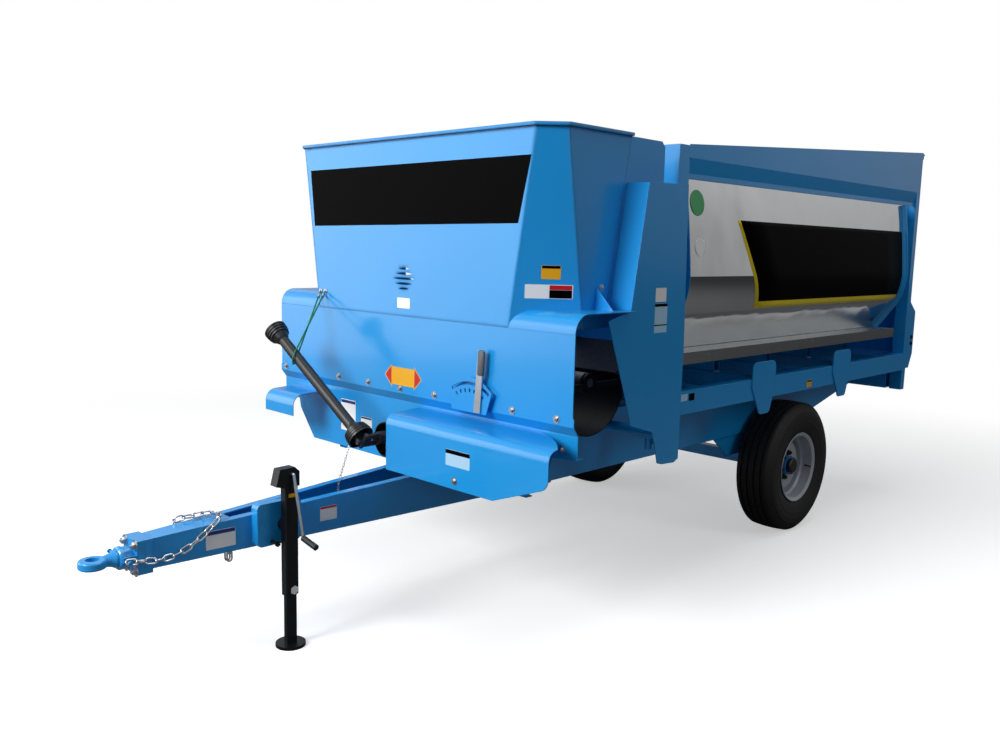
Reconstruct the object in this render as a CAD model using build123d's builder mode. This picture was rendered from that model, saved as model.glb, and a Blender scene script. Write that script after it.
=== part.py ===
"""Feed wagon: a towed mixer wagon with an open stainless tub and a discharge at each side of its front.

Millimetres, +Z up. The wagon faces -Y and its left side is +X. The origin is on the ground, under the middle
of the wagon's outline. Lengths along the wagon are counted from the front plate: positive is behind it.
"""
import os
from math import cos, hypot, pi, radians, sin, tan

from build123d import *

os.makedirs("parts", exist_ok=True)

# Driving dimensions: the whole wagon
TOW_TIP = 1556        # tow eye's tip ahead of the front plate
REAR_END = 3920       # rear cover's back behind the front plate
BODY_HALF = 953       # frame posts, side rails and bands, from the centreline
HOOD_REACH = 127      # discharge hoods beyond them
HOOD_HALF = BODY_HALF + HOOD_REACH
SHIELD_REACH = 45     # drive shield beyond the hoods
WIDEST_HALF = HOOD_HALF + SHIELD_REACH
FRONT_Y = (TOW_TIP - REAR_END) / 2   # front plate's place in the part's frame

# Sheet and plate
SHEET = 4
SKIN = 3
FIT = 0.3             # gap that a seated or sliding piece keeps
RUN = 0.05            # gap that a turning shaft keeps

# Wheels
TYRE_R, TYRE_W = 405, 245
RIM_R, RIM_W = 217, 206
SEAT_R, WELL_R = 200, 186
WHEEL_X, WHEEL_Y = 755, 2466
DISH = 19             # wheel disc's outer face beyond the wheel's middle
SPINDLE_R, SPINDLE_REACH = 25, 58
AXLE_SQ = 70

# Chassis
RAIL_Z = (920, 1037)
RAIL_W = 60
BEAM_Z = (620, 920)
BEAM_X = (560, 620)
POST_FRONT, POST_FRONT_W = (860, 944), 103
POST_REAR, POST_REAR_W = (3760, 3820), 80
POST_FRONT_X, POST_REAR_X = BODY_HALF - POST_FRONT_W, BODY_HALF - POST_REAR_W
POST_BOTTOM = 780

# Tub
TUB_Y = (944, 3560)
TUB_TOP_Z, TUB_INSET = 2060, 16
TUB_TOP_X = BODY_HALF - TUB_INSET
TUB_BULGE_OUT, TUB_BULGE_Z = 15, 1800
TUB_SIDE_OUT, TUB_SIDE_Z = 32, 1600
TUB_SIDE_X = BODY_HALF + TUB_SIDE_OUT
TUB_HIP_IN, TUB_HIP_Z = 47, 1415      # where the round side turns into the straight skirt
TUB_FOOT_IN, TUB_FLOOR_Z = 205, 1195  # where the skirt meets the floor
BAND_LOW_Z = 2157
BAND_TOP_Z = (2213, 2427)
BAND_END = POST_REAR[1]

# Front housing
HOUSE_TOP_Z, HOUSE_LOW_Z = 2214, 1377
HOUSE_INSET = 23
HOUSE_SIDE_X = BODY_HALF - HOUSE_INSET
HOUSE_TOP_X, HOUSE_LOW_X = HOUSE_SIDE_X - 95, HOUSE_SIDE_X - 226
PLATE_STEP_Z = 1000
PLATE_CREASE_Z = 960
PLATE_LOW_Z = 860
JOG = 30
HOOD_TOP_Z = 1460
HOOD_END_Y = 400
PTO_Z = 800
DIAGONAL = 0.5 ** 0.5


def side_plane(x):
    """Sketch plane across the wagon's width, drawn as length from the front plate and height."""
    return Plane(origin=(x, FRONT_Y, 0), x_dir=(0, 1, 0), z_dir=(1, 0, 0))


def cross_plane(y):
    """Sketch plane at a length from the front plate, drawn as width and height. It extrudes forwards."""
    return Plane(origin=(0, FRONT_Y + y, 0), x_dir=(1, 0, 0), z_dir=(0, -1, 0))


def plan_plane(z):
    """Level sketch plane, drawn as width and length from the front plate."""
    return Plane(origin=(0, FRONT_Y, z), x_dir=(1, 0, 0), z_dir=(0, 0, 1))


def polygon(points, mode=Mode.ADD):
    Polygon(*points, align=None, mode=mode)


def plate(plane, points, depth, mode=Mode.ADD):
    """A flat plate of any outline, its thickness along the plane's normal."""
    with BuildSketch(plane) as outline:
        polygon(points)
    extrude(outline.sketch, amount=depth, mode=mode)


def block(x, y, z, mode=Mode.ADD):
    """A box between two places along each axis."""
    middle = ((x[0] + x[1]) / 2, FRONT_Y + (y[0] + y[1]) / 2, (z[0] + z[1]) / 2)
    with Locations(middle):
        Box(x[1] - x[0], y[1] - y[0], z[1] - z[0], mode=mode)


def folded(points, thickness):
    """Outline of a folded sheet: the given face line and its parallel at the sheet's thickness to the left."""
    normals = []
    for (x0, y0), (x1, y1) in zip(points, points[1:]):
        run = hypot(x1 - x0, y1 - y0)
        normals.append((-(y1 - y0) / run, (x1 - x0) / run))
    back = []
    for index, (x, y) in enumerate(points):
        before = normals[max(index - 1, 0)]
        after = normals[min(index, len(normals) - 1)]
        nx, ny = before[0] + after[0], before[1] + after[1]
        scale = thickness * 2 / (nx * nx + ny * ny)
        back.append((x + nx * scale, y + ny * scale))
    return list(points) + back[::-1]


def bent(plane, points, radius, depth, thickness=SHEET, mode=Mode.ADD):
    """A sheet bent round its corners, its thickness to the right of the drawn line."""
    with BuildSketch(plane) as outline:
        with BuildLine():
            FilletPolyline(*points, radius=radius)
            offset(amount=thickness, side=Side.RIGHT)
        make_face()
    extrude(outline.sketch, amount=depth, mode=mode)


def rod(start, end, radius, mode=Mode.ADD):
    """A round bar between two points, lengths from the front plate."""
    a = Vector(start) + Vector(0, FRONT_Y, 0)
    b = Vector(end) + Vector(0, FRONT_Y, 0)
    with BuildSketch(Plane(origin=a, z_dir=b - a)) as outline:
        Circle(radius)
    extrude(outline.sketch, amount=(b - a).length, mode=mode)


def turned(start, along, profile, mode=Mode.ADD):
    """A turned piece from its profile: distance from the start along its axis, and radius."""
    origin = Vector(start) + Vector(0, FRONT_Y, 0)
    across = along.cross(Vector(0, 0, 1)).normalized()
    with BuildSketch(Plane(origin=origin, x_dir=along, z_dir=across)) as outline:
        polygon(profile)
    revolve(outline.sketch, axis=Axis(origin, along), mode=mode)


PIECES = {}


def store(piece, name):
    piece.part.label = name
    PIECES[name] = piece.part


# Chassis: two deep main beams, open inwards, lowered under the cross trough and rising at the rear
BEAM_Y = (70, 3690)
BEAM_T = 6
NOTCH_Y, NOTCH_Z = 600, 886
RISE_Y, RISE_Z = 2870, 800
with BuildPart() as main_beams:
    beam_face = [(BEAM_X[0], BEAM_Z[0]), (BEAM_X[1], BEAM_Z[0]), (BEAM_X[1], BEAM_Z[1]), (BEAM_X[0], BEAM_Z[1])]
    plate(cross_plane(BEAM_Y[0]), folded(beam_face, BEAM_T), BEAM_Y[0] - BEAM_Y[1])
    block((0, BODY_HALF), (0, NOTCH_Y), (NOTCH_Z, BEAM_Z[1] + 1), Mode.SUBTRACT)
    below = [(RISE_Y, BEAM_Z[0]), (RISE_Y, BEAM_Z[0] - 1), (BEAM_Y[1] + 1, BEAM_Z[0] - 1), (BEAM_Y[1] + 1, RISE_Z)]
    plate(side_plane(BEAM_X[0] - 1), below, BEAM_X[1] - BEAM_X[0] + 2, Mode.SUBTRACT)
    slant = [(RISE_Y, BEAM_Z[0]), (BEAM_Y[1], RISE_Z)]
    plate(side_plane(BEAM_X[0]), folded(slant, BEAM_T), BEAM_X[1] - BEAM_X[0])
    mirror(about=Plane.YZ)
store(main_beams, "main_beams")

# Side rails outside the beams, with two tabs on each
TAB_T = 8
TAB_TOP_Z, TAB_SIDE_Z, TAB_LOW_Z = 1130, 995, 836
TABS = [(1651, 252), (2635, 242)]   # front edge, width
with BuildPart() as side_rails:
    block((BODY_HALF - RAIL_W, BODY_HALF), (POST_FRONT[1], POST_REAR[0]), RAIL_Z)
    block((BODY_HALF - RAIL_W + SHEET, BODY_HALF - SHEET), (POST_FRONT[1] - 1, POST_REAR[0] + 1),
          (RAIL_Z[0] + SHEET, RAIL_Z[1] - SHEET), Mode.SUBTRACT)
    for front, width in TABS:
        back = front + width
        tab = [(front, TAB_TOP_Z - 35), (front + 12, TAB_TOP_Z - 10), (front + 40, TAB_TOP_Z),
               (back - 40, TAB_TOP_Z), (back - 12, TAB_TOP_Z - 10), (back, TAB_TOP_Z - 35), (back, TAB_SIDE_Z),
               (back - 40, TAB_LOW_Z + 30), (back - 50, TAB_LOW_Z + 8), (back - 68, TAB_LOW_Z),
               (front + 105, TAB_LOW_Z), (front + 88, TAB_LOW_Z + 8), (front + 78, TAB_LOW_Z + 30),
               (front, TAB_SIDE_Z)]
        plate(side_plane(BODY_HALF), tab, TAB_T)
    mirror(about=Plane.YZ)
store(side_rails, "side_rails")

# Axle, its seats and the plates that hang it under the beams
AXLE_PLATE_Z = 490
AXLE_PLATE_FRONT = (1883, 2045)
with BuildPart() as axle_plates:
    ahead, below = WHEEL_Y - AXLE_PLATE_FRONT[0], WHEEL_Y - AXLE_PLATE_FRONT[1]
    axle_plate = [(WHEEL_Y - ahead, BEAM_Z[0]), (WHEEL_Y - below, AXLE_PLATE_Z),
                  (WHEEL_Y + below, AXLE_PLATE_Z), (WHEEL_Y + ahead, BEAM_Z[0])]
    plate(side_plane((BEAM_X[0] + BEAM_X[1]) / 2), axle_plate, 10)
    mirror(about=Plane.YZ)
store(axle_plates, "axle_plates")

AXLE_Z = TYRE_R
SPINDLE_END = WHEEL_X + SPINDLE_REACH
with BuildPart() as axle_beam:
    half = AXLE_SQ / 2
    block((-BEAM_X[1], BEAM_X[1]), (WHEEL_Y - half, WHEEL_Y + half), (AXLE_Z - half, AXLE_Z + half))
    for side in (-1, 1):
        seat = sorted((side * (BEAM_X[0] + 5), side * BEAM_X[1]))
        block(seat, (WHEEL_Y - 60, WHEEL_Y + 60), (AXLE_Z + half, AXLE_PLATE_Z))
        rod((side * BEAM_X[1], WHEEL_Y, AXLE_Z), (side * SPINDLE_END, WHEEL_Y, AXLE_Z), SPINDLE_R)
store(axle_beam, "axle_beam")

# Drawbar: a box that widens to the rear, closed over its nose and open above and below behind it
BAR_NOSE_Y, BAR_REAR_Y = -1296, 900
BAR_NOSE_HALF, BAR_SPREAD = 47, 0.065
BAR_LOW_Z = 440
BAR_TOP_NOSE_Z, BAR_TOP_RISE = 561.5, 0.045
BAR_T, BAR_LIP = 8, 40
BAR_COVER_Y = -950


def bar_half(y):
    return BAR_NOSE_HALF + BAR_SPREAD * (y - BAR_NOSE_Y)


def bar_top(y):
    return BAR_TOP_NOSE_Z + BAR_TOP_RISE * (y - BAR_NOSE_Y)


def bar_plan(y0, y1, inset):
    return [(-bar_half(y0) + inset, y0), (bar_half(y0) - inset, y0), (bar_half(y1) - inset, y1),
            (-bar_half(y1) + inset, y1)]


def bar_volume(inset, run_out):
    """The drawbar's outer form, or its hollow when it is inset by the plate's thickness."""
    y0, y1 = BAR_NOSE_Y - run_out, BAR_REAR_Y + run_out
    with BuildPart() as volume:
        side = [(y0, BAR_LOW_Z + inset), (y1, BAR_LOW_Z + inset), (y1, bar_top(y1) - inset), (y0, bar_top(y0) - inset)]
        with BuildSketch(side_plane(0)):
            polygon(side)
        extrude(amount=bar_half(y1), both=True)
        plate(plan_plane(BAR_LOW_Z), bar_plan(y0, y1, inset), BEAM_Z[1] - BAR_LOW_Z, Mode.INTERSECT)
    return volume.part


bar_outer, bar_hollow = bar_volume(0, 0), bar_volume(BAR_T, 10)
with BuildPart() as drawbar:
    add(bar_outer)
    add(bar_hollow, mode=Mode.SUBTRACT)
    plate(plan_plane(BAR_LOW_Z - 1), bar_plan(BAR_COVER_Y, BAR_REAR_Y + 10, BAR_LIP), BEAM_Z[1] - BAR_LOW_Z,
          Mode.SUBTRACT)
store(drawbar, "drawbar")

# Cross members: under the tub with its saddles, and the two ties that carry the drawbar's rear end
CROSS_Y = (1150, 1750, 2350, 2900, 3440)
CROSS_L = 80
SADDLE_X, SADDLE_INSET = 650, 10
TIE_Y = (560, BAR_REAR_Y)
TIE_L, TIE_TOP_Z = 60, 740


def channel(half, y, z):
    """A box tube across the wagon, open at its ends."""
    block((-half, half), y, z)
    block((-half - 1, half + 1), (y[0] + BEAM_T, y[1] - BEAM_T), (z[0] + BEAM_T, z[1] - BEAM_T), Mode.SUBTRACT)


with BuildPart() as cross_members:
    for y in CROSS_Y:
        channel(BODY_HALF - RAIL_W, (y, y + CROSS_L), RAIL_Z)
        channel(SADDLE_X, (y + SADDLE_INSET, y + CROSS_L - SADDLE_INSET), (RAIL_Z[1], TUB_FLOOR_Z))
    for y in TIE_Y:
        channel(BEAM_X[1] - BEAM_T, (y - TIE_L, y), (bar_top(y), TIE_TOP_Z))
    channel(POST_REAR_X, (BEAM_Y[1] + FIT, POST_REAR[1]), (POST_BOTTOM + 10, RAIL_Z[0]))
store(cross_members, "cross_members")

# Hitch: two thick bolted flanges, the swivel's housing and the tow eye, and a lug for the chain on each side
FLANGE_HALF, FLANGE_T, FLANGE_Z = 62, 31, (430, 566)
EYE_Z = 496
EYE_R, EYE_BORE_R, EYE_T = 53, 25.5, 34
EYE_Y = -TOW_TIP + EYE_R
SHANK_R = 21
FLANGE_Y = BAR_NOSE_Y - 2 * FLANGE_T
HOUSING_R, HOUSING_L = 42, 38
COLLAR_R, COLLAR_T = 46, 18
HEAD_Y = FLANGE_Y - HOUSING_L - COLLAR_T
LUG_X, LUG_REACH, LUG_Z = (50, 60), 52, (488, 512)
PIN_R, PIN_Y, PIN_X = 3.5, -1399, 95
with BuildPart() as hitch_flange:
    for back in (BAR_NOSE_Y, BAR_NOSE_Y - FLANGE_T):
        block((-FLANGE_HALF, FLANGE_HALF), (back - FLANGE_T + 0.5, back), FLANGE_Z)
    rod((0, BAR_NOSE_Y, EYE_Z), (0, FLANGE_Y - HOUSING_L, EYE_Z), HOUSING_R)
    rod((0, HEAD_Y + COLLAR_T, EYE_Z), (0, HEAD_Y, EYE_Z), COLLAR_R)
    chamfer(hitch_flange.edges().group_by(Axis.Y)[0], 5)
    for side in (-1, 1):
        block(sorted((side * LUG_X[0], side * LUG_X[1])), (FLANGE_Y - LUG_REACH, FLANGE_Y + 1), LUG_Z)
        rod((side * (LUG_X[1] - 1), PIN_Y, EYE_Z + 3), (side * PIN_X, PIN_Y, EYE_Z + 3), PIN_R)
        rod((side * PIN_X, PIN_Y, EYE_Z + 3), (side * (PIN_X + 6), PIN_Y, EYE_Z + 3), 2.5 * PIN_R)
    rod((0, BAR_NOSE_Y - FLANGE_T, EYE_Z), (0, HEAD_Y - 1, EYE_Z), SHANK_R + RUN, Mode.SUBTRACT)
store(hitch_flange, "hitch_flange")

with BuildPart() as tow_eye:
    with BuildSketch(plan_plane(EYE_Z - EYE_T / 2)):
        with Locations((0, EYE_Y)):
            Circle(EYE_R)
    extrude(amount=EYE_T)
    fillet(tow_eye.faces().filter_by(Axis.Z).edges(), 9)
    neck = EYE_Y + EYE_R - 14
    turned((0, HEAD_Y - FIT, EYE_Z), Vector(0, -1, 0), [(0, 0), (0, 34), (8, 34), (22, 27), (HEAD_Y - FIT - neck, SHANK_R),
                                                       (HEAD_Y - FIT - neck, 0)])
    rod((0, HEAD_Y - FIT - 1, EYE_Z), (0, BAR_NOSE_Y - FLANGE_T - 4, EYE_Z), SHANK_R)
    with BuildSketch(plan_plane(EYE_Z - EYE_T)):
        with Locations((0, EYE_Y)):
            Circle(EYE_BORE_R)
    extrude(amount=2 * EYE_T, mode=Mode.SUBTRACT)
store(tow_eye, "tow_eye")

# Chains: each link is an open ring of flat bar, turned a quarter against the next one
CHAIN_T, CHAIN_L, CHAIN_W = 8, 38, 30         # thickness, pitch, width
THIN_T, THIN_L, THIN_W = 3, 14, 11


def chain_link(thickness, pitch, width):
    """One link lying along the local X axis. The pitch is its opening's length."""
    half, wide, corner = pitch / 2 + thickness, width / 2, width * 0.3
    inner, narrow, turn = pitch / 2, width / 2 - thickness, width * 0.3 - thickness * 0.58
    with BuildPart() as link:
        with BuildSketch():
            for a, b, c, mode in ((half, wide, corner, Mode.ADD), (inner, narrow, turn, Mode.SUBTRACT)):
                polygon([(-a, c - b), (c - a, -b), (a - c, -b), (a, c - b), (a, b - c), (a - c, b), (c - a, b),
                         (-a, b - c)], mode)
        extrude(amount=thickness / 2, both=True)
    return link.part


def chain_places(route, pitch, core):
    """Link places along a route. A link's tilt is taken from the core line that the chain lies round."""
    points = [Vector(*point) for point in route]
    nodes, leg, done = [points[0]], 0, 0.0
    while True:
        here, rest = nodes[-1], None
        for index in range(leg, len(points) - 1):
            a, b = points[index], points[index + 1]
            along = (b - a).normalized()
            near = max((here - a).dot(along), done if index == leg else 0)
            gap = (here - a - along * (here - a).dot(along)).length
            if gap < pitch:
                ahead = (here - a).dot(along) + (pitch ** 2 - gap ** 2) ** 0.5
                if near < ahead <= (b - a).length:
                    rest, leg, done = a + along * ahead, index, ahead
                    break
        if rest is None:
            break
        nodes.append(rest)
    places = []
    for index, (a, b) in enumerate(zip(nodes, nodes[1:])):
        along, middle = (b - a).normalized(), (a + b) * 0.5
        out = middle - Vector(core[0], middle.Y, core[1])
        out = (out - along * out.dot(along)).normalized()
        side = along.cross(out)
        tilt = out + side if index % 2 else out - side
        places.append(Plane(origin=Vector(middle.X, FRONT_Y + middle.Y, middle.Z), x_dir=along, z_dir=tilt))
    return places


CHAIN_OFF = 18      # chain's line off the faces that it lies on


def beside_bar(side, y, z):
    """A point of the chain's line at one side of the drawbar or of the flange."""
    return (side * (max(bar_half(y), FLANGE_HALF if y < BAR_NOSE_Y + 25 else 0) + CHAIN_OFF), y, z)


def over_bar(x, y):
    return (x, y, bar_top(y) + CHAIN_OFF)


def round_edge(side, y):
    return (side * (bar_half(y) + CHAIN_OFF), y, bar_top(y) + CHAIN_OFF)


CHAIN_ROUTE = [beside_bar(1, PIN_Y - PIN_R - 3, 500), beside_bar(1, -1350, 492), beside_bar(1, -1285, 480),
               beside_bar(1, -1235, 476), beside_bar(1, -1190, 486), beside_bar(1, -1140, 508),
               beside_bar(1, -1095, 538), beside_bar(1, -1062, 565), round_edge(1, -1030), over_bar(38, -1000),
               over_bar(0, -985), over_bar(-30, -1000), over_bar(-42, -1045), over_bar(-44, -1095),
               round_edge(-1, -1130), beside_bar(-1, -1160, 552), beside_bar(-1, -1195, 515),
               beside_bar(-1, -1240, 488), beside_bar(-1, -1285, 480), beside_bar(-1, -1350, 490),
               beside_bar(-1, PIN_Y - PIN_R - 3, 500)]
RING_Y, RING_Z = -942, 400
with BuildPart() as safety_chain:
    link = chain_link(CHAIN_T, CHAIN_L - 0.8, CHAIN_W)
    for place in chain_places(CHAIN_ROUTE, CHAIN_L, (0, 510)):
        with Locations(place.location):
            add(link)
    for x in (-9, 9):
        with Locations(Plane(origin=(x, FRONT_Y + RING_Y, RING_Z), x_dir=(0, 0, 1), z_dir=(1, 0, 0)).location):
            add(link)
    rod((-16, RING_Y, RING_Z + CHAIN_L / 2 - 6), (16, RING_Y, RING_Z + CHAIN_L / 2 - 6), 5)
    block((-4, 4), (RING_Y - 12, RING_Y + 8), (RING_Z + 6, BAR_LOW_Z - FIT))
store(safety_chain, "safety_chain")

# Jack: pad on the drawbar, swivel pin, tube, sliding leg with its foot
JACK_X, JACK_Y = 171, -750
JACK_HALF, JACK_DEEP, JACK_T = 22, 31, 4      # half width, half length, wall
JACK_TUBE_Z = (230, 715)
JACK_HEAD_Z = 786
JACK_PIVOT_Z = 530
JACK_REACH = 210      # how far the leg slides up
LEG_HALF, LEG_DEEP = 15, 25
LEG_TOP_Z, LEG_SHOE = 430, 40
FOOT_R, FOOT_T = 64, 14
PAD_X, PAD_Y, PAD_Z = 122, (-873, -662), (445, 630)
with BuildPart() as jack_bracket:
    pad = [(bar_half(PAD_Y[0]), PAD_Y[0]), (PAD_X, PAD_Y[0]), (PAD_X, PAD_Y[1]), (bar_half(PAD_Y[1]), PAD_Y[1])]
    plate(plan_plane(PAD_Z[0]), pad, PAD_Z[1] - PAD_Z[0])
    fillet(jack_bracket.edges().filter_by(Axis.X), 22)
store(jack_bracket, "jack_bracket")

with BuildPart() as jack_tube:
    block((JACK_X - JACK_HALF, JACK_X + JACK_HALF), (JACK_Y - JACK_DEEP, JACK_Y + JACK_DEEP), JACK_TUBE_Z)
    fillet(jack_tube.edges().filter_by(Axis.Z), 8)
    narrow, deep = JACK_HALF - JACK_T, JACK_DEEP - JACK_T
    block((JACK_X - narrow, JACK_X + narrow), (JACK_Y - deep, JACK_Y + deep),
          (JACK_TUBE_Z[0] - 1, JACK_TUBE_Z[1] - 12), Mode.SUBTRACT)
    rod((PAD_X + FIT, JACK_Y, JACK_PIVOT_Z), (JACK_X - JACK_HALF + 1, JACK_Y, JACK_PIVOT_Z), 28)
    cap = [(-76, 715), (-40, 705), (36, 705), (36, 768), (14, JACK_HEAD_Z + 2), (-58, JACK_HEAD_Z)]
    plate(side_plane(JACK_X - JACK_HALF - 2), [(JACK_Y + y, z) for y, z in cap], 2 * JACK_HALF + 4)
store(jack_tube, "jack_tube")

CRANK_X, CRANK_R = 206, 7
CRANK_TOP_Z, CRANK_LOW, GRIP_END = 760, (262, -742, 497), (347, -735, 475)
with BuildPart() as jack_crank:
    rod((JACK_X + JACK_HALF + 2, JACK_Y, CRANK_TOP_Z), (CRANK_X, JACK_Y, CRANK_TOP_Z), CRANK_R)
    rod((CRANK_X, JACK_Y, CRANK_TOP_Z), CRANK_LOW, CRANK_R)
    with Locations((CRANK_X, FRONT_Y + JACK_Y, CRANK_TOP_Z)):
        Sphere(CRANK_R)
store(jack_crank, "jack_crank")

with BuildPart() as jack_grip:
    rod(CRANK_LOW, GRIP_END, 13)
    rod((CRANK_X, JACK_Y, CRANK_TOP_Z), CRANK_LOW, CRANK_R + 0.01, Mode.SUBTRACT)
store(jack_grip, "jack_grip")

with BuildPart() as jack_leg:
    block((JACK_X - LEG_HALF, JACK_X + LEG_HALF), (JACK_Y - LEG_DEEP, JACK_Y + LEG_DEEP), (FOOT_T, LEG_TOP_Z))
    fillet(jack_leg.edges().filter_by(Axis.Z), 6)
    narrow, deep = JACK_HALF - JACK_T - 2 * FIT, JACK_DEEP - JACK_T - 2 * FIT
    block((JACK_X - narrow, JACK_X + narrow), (JACK_Y - deep, JACK_Y + deep), (LEG_TOP_Z - LEG_SHOE, LEG_TOP_Z))
    narrow, deep = LEG_HALF - JACK_T, LEG_DEEP - JACK_T
    block((JACK_X - narrow, JACK_X + narrow), (JACK_Y - deep, JACK_Y + deep), (FOOT_T, LEG_TOP_Z + 1),
          Mode.SUBTRACT)
    rod((JACK_X, JACK_Y, 0), (JACK_X, JACK_Y, FOOT_T), FOOT_R)
store(jack_leg, "jack_leg")

# Frame posts at both ends of the tub
with BuildPart() as frame_posts:
    block((POST_FRONT_X, BODY_HALF), POST_FRONT, (POST_BOTTOM, BAND_TOP_Z[0]))
    block((POST_FRONT_X + SHEET, BODY_HALF - SHEET), (POST_FRONT[0] + SHEET, POST_FRONT[1] - SHEET),
          (POST_BOTTOM - 1, BAND_TOP_Z[0] + 1), Mode.SUBTRACT)
    block((POST_REAR_X, BODY_HALF), POST_REAR, (POST_BOTTOM, BAND_LOW_Z))
    block((POST_REAR_X + SHEET, BODY_HALF - SHEET), (POST_REAR[0] + SHEET, POST_REAR[1] - SHEET),
          (POST_BOTTOM - 1, BAND_LOW_Z + 1), Mode.SUBTRACT)
    mirror(about=Plane.YZ)
store(frame_posts, "frame_posts")


SKIRT = Vector(TUB_FOOT_IN - TUB_HIP_IN, TUB_HIP_Z - TUB_FLOOR_Z).normalized()


def skirt_x(z):
    """The tub's half width on its straight skirt."""
    return TUB_SIDE_X - TUB_HIP_IN - (TUB_HIP_Z - z) * SKIRT.X / SKIRT.Y


def tub_section(grow, mode=Mode.ADD):
    """The tub's section, grown outwards: bulging sides, straight skirts and a flat floor."""
    side, floor = TUB_SIDE_X + grow, TUB_FLOOR_Z - grow
    hip_x, hip_z = TUB_SIDE_X - TUB_HIP_IN + grow * SKIRT.Y, TUB_HIP_Z - grow * SKIRT.X
    foot = hip_x - (hip_z - floor) * SKIRT.X / SKIRT.Y
    turn_x, turn_z = TUB_SIDE_X - 12 + grow * 0.96, (TUB_SIDE_Z + TUB_HIP_Z) / 2 - grow * 0.28
    with BuildLine() as outline:
        for hand in (-1, 1):
            top = (hand * (TUB_TOP_X + grow), TUB_TOP_Z)
            ThreePointArc(top, (hand * (BODY_HALF + TUB_BULGE_OUT + grow), TUB_BULGE_Z), (hand * side, TUB_SIDE_Z))
            ThreePointArc((hand * side, TUB_SIDE_Z), (hand * turn_x, turn_z), (hand * hip_x, hip_z))
            Line((hand * hip_x, hip_z), (hand * foot, floor))
        Line((-foot, floor), (foot, floor))
        Line((-TUB_TOP_X - grow, TUB_TOP_Z), (TUB_TOP_X + grow, TUB_TOP_Z))
    make_face(outline.edges(), mode=mode)


# Tub: one stainless skin, both sides and the floor
with BuildPart() as tub_skin:
    with BuildSketch(cross_plane(TUB_Y[0] + 6)):
        tub_section(0)
        tub_section(-SKIN, Mode.SUBTRACT)
    extrude(amount=-(TUB_Y[1] - TUB_Y[0] - 6))
store(tub_skin, "tub_skin")

# Mixing augers: stub ends in flange bearings, paddles set round the shaft like a screw
AUGER_LOW = (TUB_SIDE_X - 297, 1480)
AUGER_TOP = (0, 1720)
AUGER_R, SHAFT_R, STUB_R = 225, 45, 25
WALL_T = 6
REAR_WALL_Y = (TUB_Y[1], TUB_Y[1] + WALL_T)
FRONT_WALL_Y = (TUB_Y[0], TUB_Y[0] + WALL_T)
BEARING_R, BEARING_T = 70, 12
AUGERS = [("auger_left", AUGER_LOW[0], AUGER_LOW[1], 1), ("auger_right", -AUGER_LOW[0], AUGER_LOW[1], -1),
          ("auger_top", AUGER_TOP[0], AUGER_TOP[1], 1)]   # name, x, z, hand

# Front and rear walls of the tub, wider than the skin
FRONT_LIP, REAR_LIP = 3, 27
GATE_HALF, GATE_Z = 250, (1270, 1640)
GATE_T, GATE_LAP = 6, 40
GATE_Y = FRONT_WALL_Y[0] - BEARING_T - 6 - GATE_T
GUIDE_Z = (1262, 2120)
with BuildPart() as front_wall:
    with BuildSketch(cross_plane(FRONT_WALL_Y[1])):
        tub_section(FRONT_LIP)
        polygon([(-TUB_TOP_X + 4, TUB_TOP_Z), (TUB_TOP_X - 4, TUB_TOP_Z), (TUB_TOP_X - 4, BAND_TOP_Z[0]),
                 (-TUB_TOP_X + 4, BAND_TOP_Z[0])])
        polygon([(-GATE_HALF, GATE_Z[0]), (GATE_HALF, GATE_Z[0]), (GATE_HALF, GATE_Z[1]), (-GATE_HALF, GATE_Z[1])],
                Mode.SUBTRACT)
        for name, x, z, hand in AUGERS:
            with Locations((x, z)):
                Circle(STUB_R + 5, mode=Mode.SUBTRACT)
    extrude(amount=WALL_T)
    for side in (-1, 1):
        block(sorted((side * (GATE_HALF + 20), side * (GATE_HALF + 60))), (GATE_Y - 10, FRONT_WALL_Y[0]), GUIDE_Z)
        block(sorted((side * GATE_HALF, side * (GATE_HALF + GATE_LAP + FIT))), (GATE_Y - FIT, GATE_Y + GATE_T + FIT),
              (GUIDE_Z[0] - 1, GUIDE_Z[1] + 1), Mode.SUBTRACT)
store(front_wall, "front_wall")

SOFFIT_Z = 2085
with BuildPart() as rear_wall:
    with BuildSketch(cross_plane(REAR_WALL_Y[1])):
        tub_section(REAR_LIP)
        polygon([(-TUB_TOP_X + 52, TUB_TOP_Z), (TUB_TOP_X - 52, TUB_TOP_Z), (TUB_TOP_X - 52, SOFFIT_Z),
                 (-TUB_TOP_X + 52, SOFFIT_Z)])
        for name, x, z, hand in AUGERS:
            with Locations((x, z)):
                Circle(STUB_R + 5, mode=Mode.SUBTRACT)
    extrude(amount=WALL_T)
store(rear_wall, "rear_wall")

with BuildPart() as auger_bearings:
    for name, x, z, hand in AUGERS:
        rod((x, FRONT_WALL_Y[0] - BEARING_T, z), (x, FRONT_WALL_Y[0], z), BEARING_R)
        rod((x, REAR_WALL_Y[1], z), (x, REAR_WALL_Y[1] + BEARING_T, z), BEARING_R)
    for name, x, z, hand in AUGERS:
        rod((x, FRONT_WALL_Y[0] - BEARING_T - 1, z), (x, REAR_WALL_Y[1] + BEARING_T + 1, z), STUB_R + RUN,
            Mode.SUBTRACT)
store(auger_bearings, "auger_bearings")

PADDLE_GAP, PADDLE_TURN, PADDLE_TILT = 230, 60, 35
PADDLE = (130, 8, 110)
ARM_R = 12


def paddle(radius, tilt):
    """One blade on its arm, pointing along the local Z axis from a shaft along the local Y axis."""
    with Locations((0, 0, radius - PADDLE[2] / 2)):
        Box(PADDLE[0], PADDLE[1], PADDLE[2], rotation=(0, 0, tilt))
    arm = radius - PADDLE[2] / 2
    with Locations((0, 0, arm / 2)):
        Cylinder(ARM_R, arm)


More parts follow.
